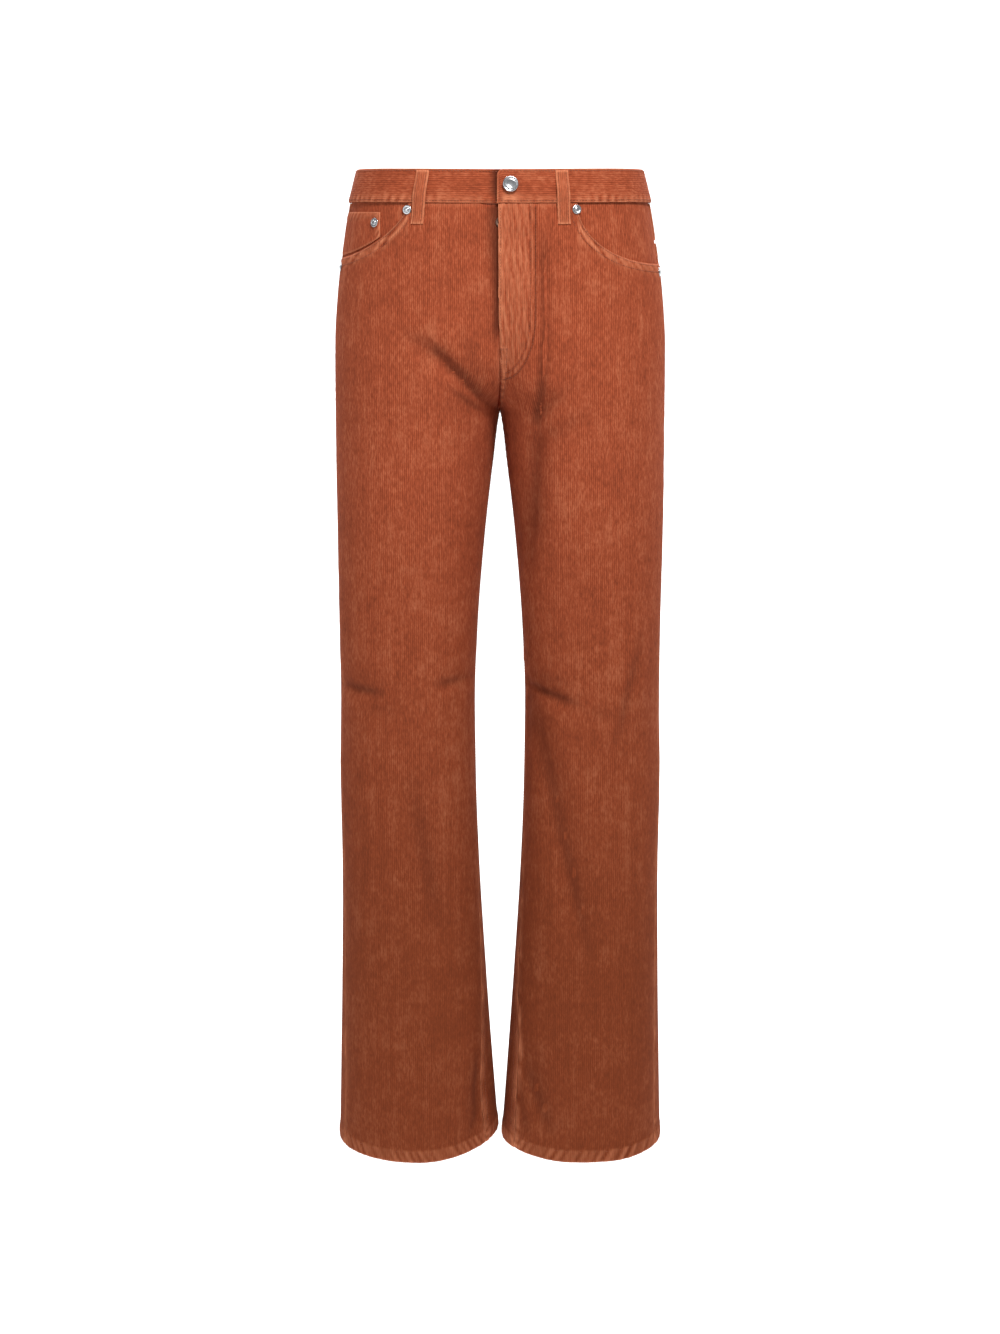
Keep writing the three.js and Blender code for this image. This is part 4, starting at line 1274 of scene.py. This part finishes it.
class Nodes:
    """A short way to add shader nodes and link them."""

    def __init__(self, name):
        self.material = bpy.data.materials.new(name)
        self.material.use_nodes = True
        self.tree = self.material.node_tree
        self.shader = self.tree.nodes["Principled BSDF"]

    def fill(self, node, inputs):
        """Link sockets to a node's inputs, and set the others to their values."""
        for key, value in inputs.items():
            if isinstance(value, bpy.types.NodeSocket):
                self.tree.links.new(value, node.inputs[key])
            else:
                node.inputs[key].default_value = value

    def add(self, kind, inputs, **settings):
        node = self.tree.nodes.new(kind)
        for key, value in settings.items():
            setattr(node, key, value)
        self.fill(node, inputs)
        return node

    def coordinates(self):
        """Places on the cloth unrolled, and in the scene, both in metres."""
        outputs = self.add("ShaderNodeTexCoord", {}).outputs
        return outputs["UV"], outputs["Object"]

    def math(self, operation, a, b=0.0, c=0.0, clamp=False):
        node = self.add("ShaderNodeMath", {0: a, 1: b, 2: c}, operation=operation, use_clamp=clamp)
        return node.outputs[0]

    def mix(self, factor, a, b):
        inputs = {0: factor, 6: a, 7: b}
        return self.add("ShaderNodeMix", inputs, data_type="RGBA").outputs[2]

    def noise(self, vector, scale, detail, roughness):
        inputs = {"Vector": vector, "Scale": scale, "Detail": detail, "Roughness": roughness}
        return self.add("ShaderNodeTexNoise", inputs).outputs["Fac"]

    def streaks(self, vector, across, along, detail, roughness, scale=1.0):
        """Noise with its own fineness across the wales and along them."""
        inputs = {"Vector": vector, "Scale": (across, along, 1)}
        return self.noise(self.add("ShaderNodeMapping", inputs).outputs[0], scale, detail, roughness)

    def range(self, value, low, high, to_low=0.0, to_high=1.0):
        inputs = {"Value": value, 1: low, 2: high, 3: to_low, 4: to_high}
        return self.add("ShaderNodeMapRange", inputs).outputs[0]


def linear(red, green, blue):
    """A colour given as 0 to 255 on screen, in Blender's linear values."""
    values = [c / 255 for c in (red, green, blue)]
    return tuple(c / 12.92 if c <= 0.04045 else ((c + 0.055) / 1.055) ** 2.4 for c in values) + (1,)


def corduroy_material(name, groove, ridge, worn):
    """Cotton corduroy, garment-washed: dark grooves, lighter ridges rubbed paler, mottled, with painted
    shade towards the feet, in creases and beside laps.
    """
    n = Nodes(name)
    unrolled, in_scene = n.coordinates()
    uv = n.add("ShaderNodeSeparateXYZ", {0: unrolled})
    phase = n.math("FRACT", n.math("MULTIPLY", uv.outputs[0], 1 / (WALE * MM)))
    across = n.math("ABSOLUTE", n.math("SUBTRACT", phase, 0.5))
    wale = n.range(across, 0.5, 0.22)
    streak = n.streaks(unrolled, 420, 26, 4.0, 0.6)
    long_streak = n.streaks(unrolled, 110, 5, 3.0, 0.6)
    grain = n.streaks(unrolled, 520, 150, 3.0, 0.65)
    speckle = n.range(n.streaks(unrolled, 420, 26, 3.0, 0.7, 2.3), 0.35, 0.62)
    cloud = n.noise(in_scene, 13.0, 5.0, 0.6)
    blot = n.noise(in_scene, 55.0, 4.0, 0.65)
    fuzz = n.noise(in_scene, 900.0, 2.0, 0.6)
    # The attribute holds rubbed wear above zero and painted shade below zero.
    wear_and_shade = n.add("ShaderNodeAttribute", {}, attribute_name="wear_and_shade").outputs["Fac"]
    rib = n.math("MULTIPLY", wale, n.range(grain, 0.3, 0.62, 0.35, 1.0))
    base = n.mix(rib, groove, ridge)
    # Painted shade: the cloth is darkened towards the feet, as the light falls off down the legs.
    height_above = n.add("ShaderNodeSeparateXYZ", {0: in_scene}).outputs[2]
    painted_foot_shade = tuple(share * c for share, c in zip((0.33, 0.33, 0.17), ridge[:3])) + (1,)
    base = n.mix(n.range(height_above, -0.3, -0.85, 0.0, 0.36), base, painted_foot_shade)
    shade = n.range(streak, 0.25, 0.75, -0.11, 0.11)
    for noise, strength in ((cloud, 0.11), (blot, 0.15), (grain, 0.17), (long_streak, 0.1)):
        shade = n.math("ADD", shade, n.range(noise, 0.3, 0.7, -strength, strength))
    dark = n.math("MULTIPLY", shade, -1.0, clamp=True)
    light = n.math("MULTIPLY", shade, 1.0, clamp=True)
    # deep is one dark tone for the random dark mottling and for the painted shade where the attribute
    # is below zero.
    deep = tuple(0.3 * c for c in groove[:3]) + (1,)
    base = n.mix(dark, base, deep)
    base = n.mix(light, base, worn)
    rubbed = n.math("MULTIPLY", wear_and_shade, n.math("MULTIPLY_ADD", speckle, 0.75, 0.25), clamp=True)
    # The same painted shade towards the feet, applied again before the rubbed wear.
    base = n.mix(n.range(height_above, -0.3, -0.85, 0.0, 0.42), base, painted_foot_shade)
    base = n.mix(rubbed, base, worn)
    # Painted shade: creases, the fly's lap and the band's lap darken towards the deep tone.
    base = n.mix(n.math("MULTIPLY", wear_and_shade, -1.0, clamp=True), base, deep)
    height = n.math("MULTIPLY", fuzz, 0.5)
    weave = n.math("SINE", n.math("MULTIPLY", uv.outputs[1], 2 * math.pi / 0.0011))
    height = n.math("ADD", height, n.math("MULTIPLY", weave, 0.18))
    if WALE_POINTS < 3:
        height = n.math("ADD", height, n.math("MULTIPLY", wale, 0.8))
    bump = n.add("ShaderNodeBump", {"Strength": 0.55, "Distance": 0.0002, "Height": height})
    n.fill(n.shader, {
        "Base Color": base,
        "Normal": bump.outputs[0],
        "Roughness": 0.92,
        "Specular IOR Level": 0.18,
        "Sheen Weight": 0.04,
        "Sheen Roughness": 0.45,
        "Sheen Tint": linear(232, 150, 112),
    })
    return n.material


def thread_material():
    n = Nodes("thread")
    twist = n.noise(n.coordinates()[1], 1500.0, 2.0, 0.5)
    base = n.mix(twist, linear(104, 44, 24), linear(166, 88, 56))
    bump = n.add("ShaderNodeBump", {"Strength": 0.4, "Distance": 0.0001, "Height": twist})
    n.fill(n.shader, {"Base Color": base, "Normal": bump.outputs[0], "Roughness": 0.7})
    return n.material


def metal_material(name, colour, roughness):
    n = Nodes(name)
    scuff = n.noise(n.coordinates()[1], 700.0, 4.0, 0.6)
    base = n.mix(scuff, colour, tuple(0.72 * c for c in colour[:3]) + (1,))
    rough = n.range(scuff, 0.3, 0.7, roughness, roughness + 0.12)
    n.fill(n.shader, {"Base Color": base, "Roughness": rough, "Metallic": 1.0})
    return n.material


CORDUROY = corduroy_material(
    "corduroy", linear(132, 58, 33), linear(176, 84, 52), linear(214, 132, 94)
)
THREAD = thread_material()
STEEL = metal_material("steel", linear(214, 216, 220), 0.16)
# A darker copy of the steel, as painted shade for the fly button in the shadow under the lap.
SHADED_STEEL = metal_material("shaded_steel", linear(120, 96, 84), 0.3)

for side in (LEFT, RIGHT):
    front_edge = fly_edge if side == LEFT else middle_edge
    scoop = lambda x, side=side: scoop_top(side, x)
    cloth_panel(side, FRONT, scoop, front_edge)
    cloth_panel(side, BACK, lambda x: yoke_seam(x) - SEAM_GAP, middle_edge)
    yoke(side)
    pocket_facing(side)
    back_pocket(side)
    leg_stitches(side)
coin_pocket()
fly_underlap()
waistband()
for loop in LOOPS:
    belt_loop(*loop)
fly_stitches()
band_stitches()
loop_stitches()
tacks()
fittings()

# Stage


def stage():
    low, far, high, width, bend = -1.62, 4.3, 4.2, 7.0, 1.2
    profile = [(-4.5, low), (far - bend, low)]
    for i in range(1, 12):
        a = math.pi / 2 * i / 12
        profile.append((far - bend + bend * math.sin(a), low + bend * (1 - math.cos(a))))
    profile += [(far, low + bend), (far, high)]
    points = [(x, y, z) for y, z in profile for x in (-width, width)]
    faces = [(2 * i, 2 * i + 1, 2 * i + 3, 2 * i + 2) for i in range(len(profile) - 1)]
    mesh = plain_mesh("floor", points, faces)
    piece = bpy.data.objects.new("floor", mesh)
    bpy.context.scene.collection.objects.link(piece)
    n = Nodes("floor")
    n.fill(n.shader, {"Base Color": (0.93, 0.93, 0.93, 1), "Roughness": 0.9})
    mesh.materials.append(n.material)


def area_light(name, position, target, size, power):
    light = bpy.data.lights.new(name, "AREA")
    light.shape = "RECTANGLE"
    light.size, light.size_y = size
    light.energy = power
    lamp = bpy.data.objects.new(name, light)
    lamp.location = position
    lamp.rotation_euler = (Vector(target) - Vector(position)).to_track_quat("-Z", "Y").to_euler()
    bpy.context.scene.collection.objects.link(lamp)


def lights():
    world = bpy.data.worlds.new("studio")
    world.use_nodes = True
    world.node_tree.nodes["Background"].inputs["Color"].default_value = (1, 1, 1, 1)
    world.node_tree.nodes["Background"].inputs["Strength"].default_value = 0.3
    bpy.context.scene.world = world
    area_light("key", (0.5, -1.75, 1.55), (0, 0, -0.2), (0.8, 0.7), 55)
    area_light("fill", (-1.7, -1.7, 0.3), (0, 0, -0.3), (0.9, 1.4), 7)
    area_light("backdrop", (0, 2.1, 3.0), (0, 3.1, -1.6), (5.0, 2.4), 300)


CAMERA_Y, CAMERA_Z, CAMERA_PITCH = -2.62, -0.08, 9.62
LENS = 63.93


def camera():
    data = bpy.data.cameras.new("camera")
    data.lens = LENS
    data.sensor_width = 36
    data.clip_start, data.clip_end = 0.05, 50
    eye = bpy.data.objects.new("camera", data)
    eye.location = (0, CAMERA_Y, CAMERA_Z)
    eye.rotation_euler = (math.radians(90 - CAMERA_PITCH), 0, 0)
    bpy.context.scene.collection.objects.link(eye)
    bpy.context.scene.camera = eye


stage()
lights()
camera()
bpy.context.scene.view_settings.view_transform = "Standard"
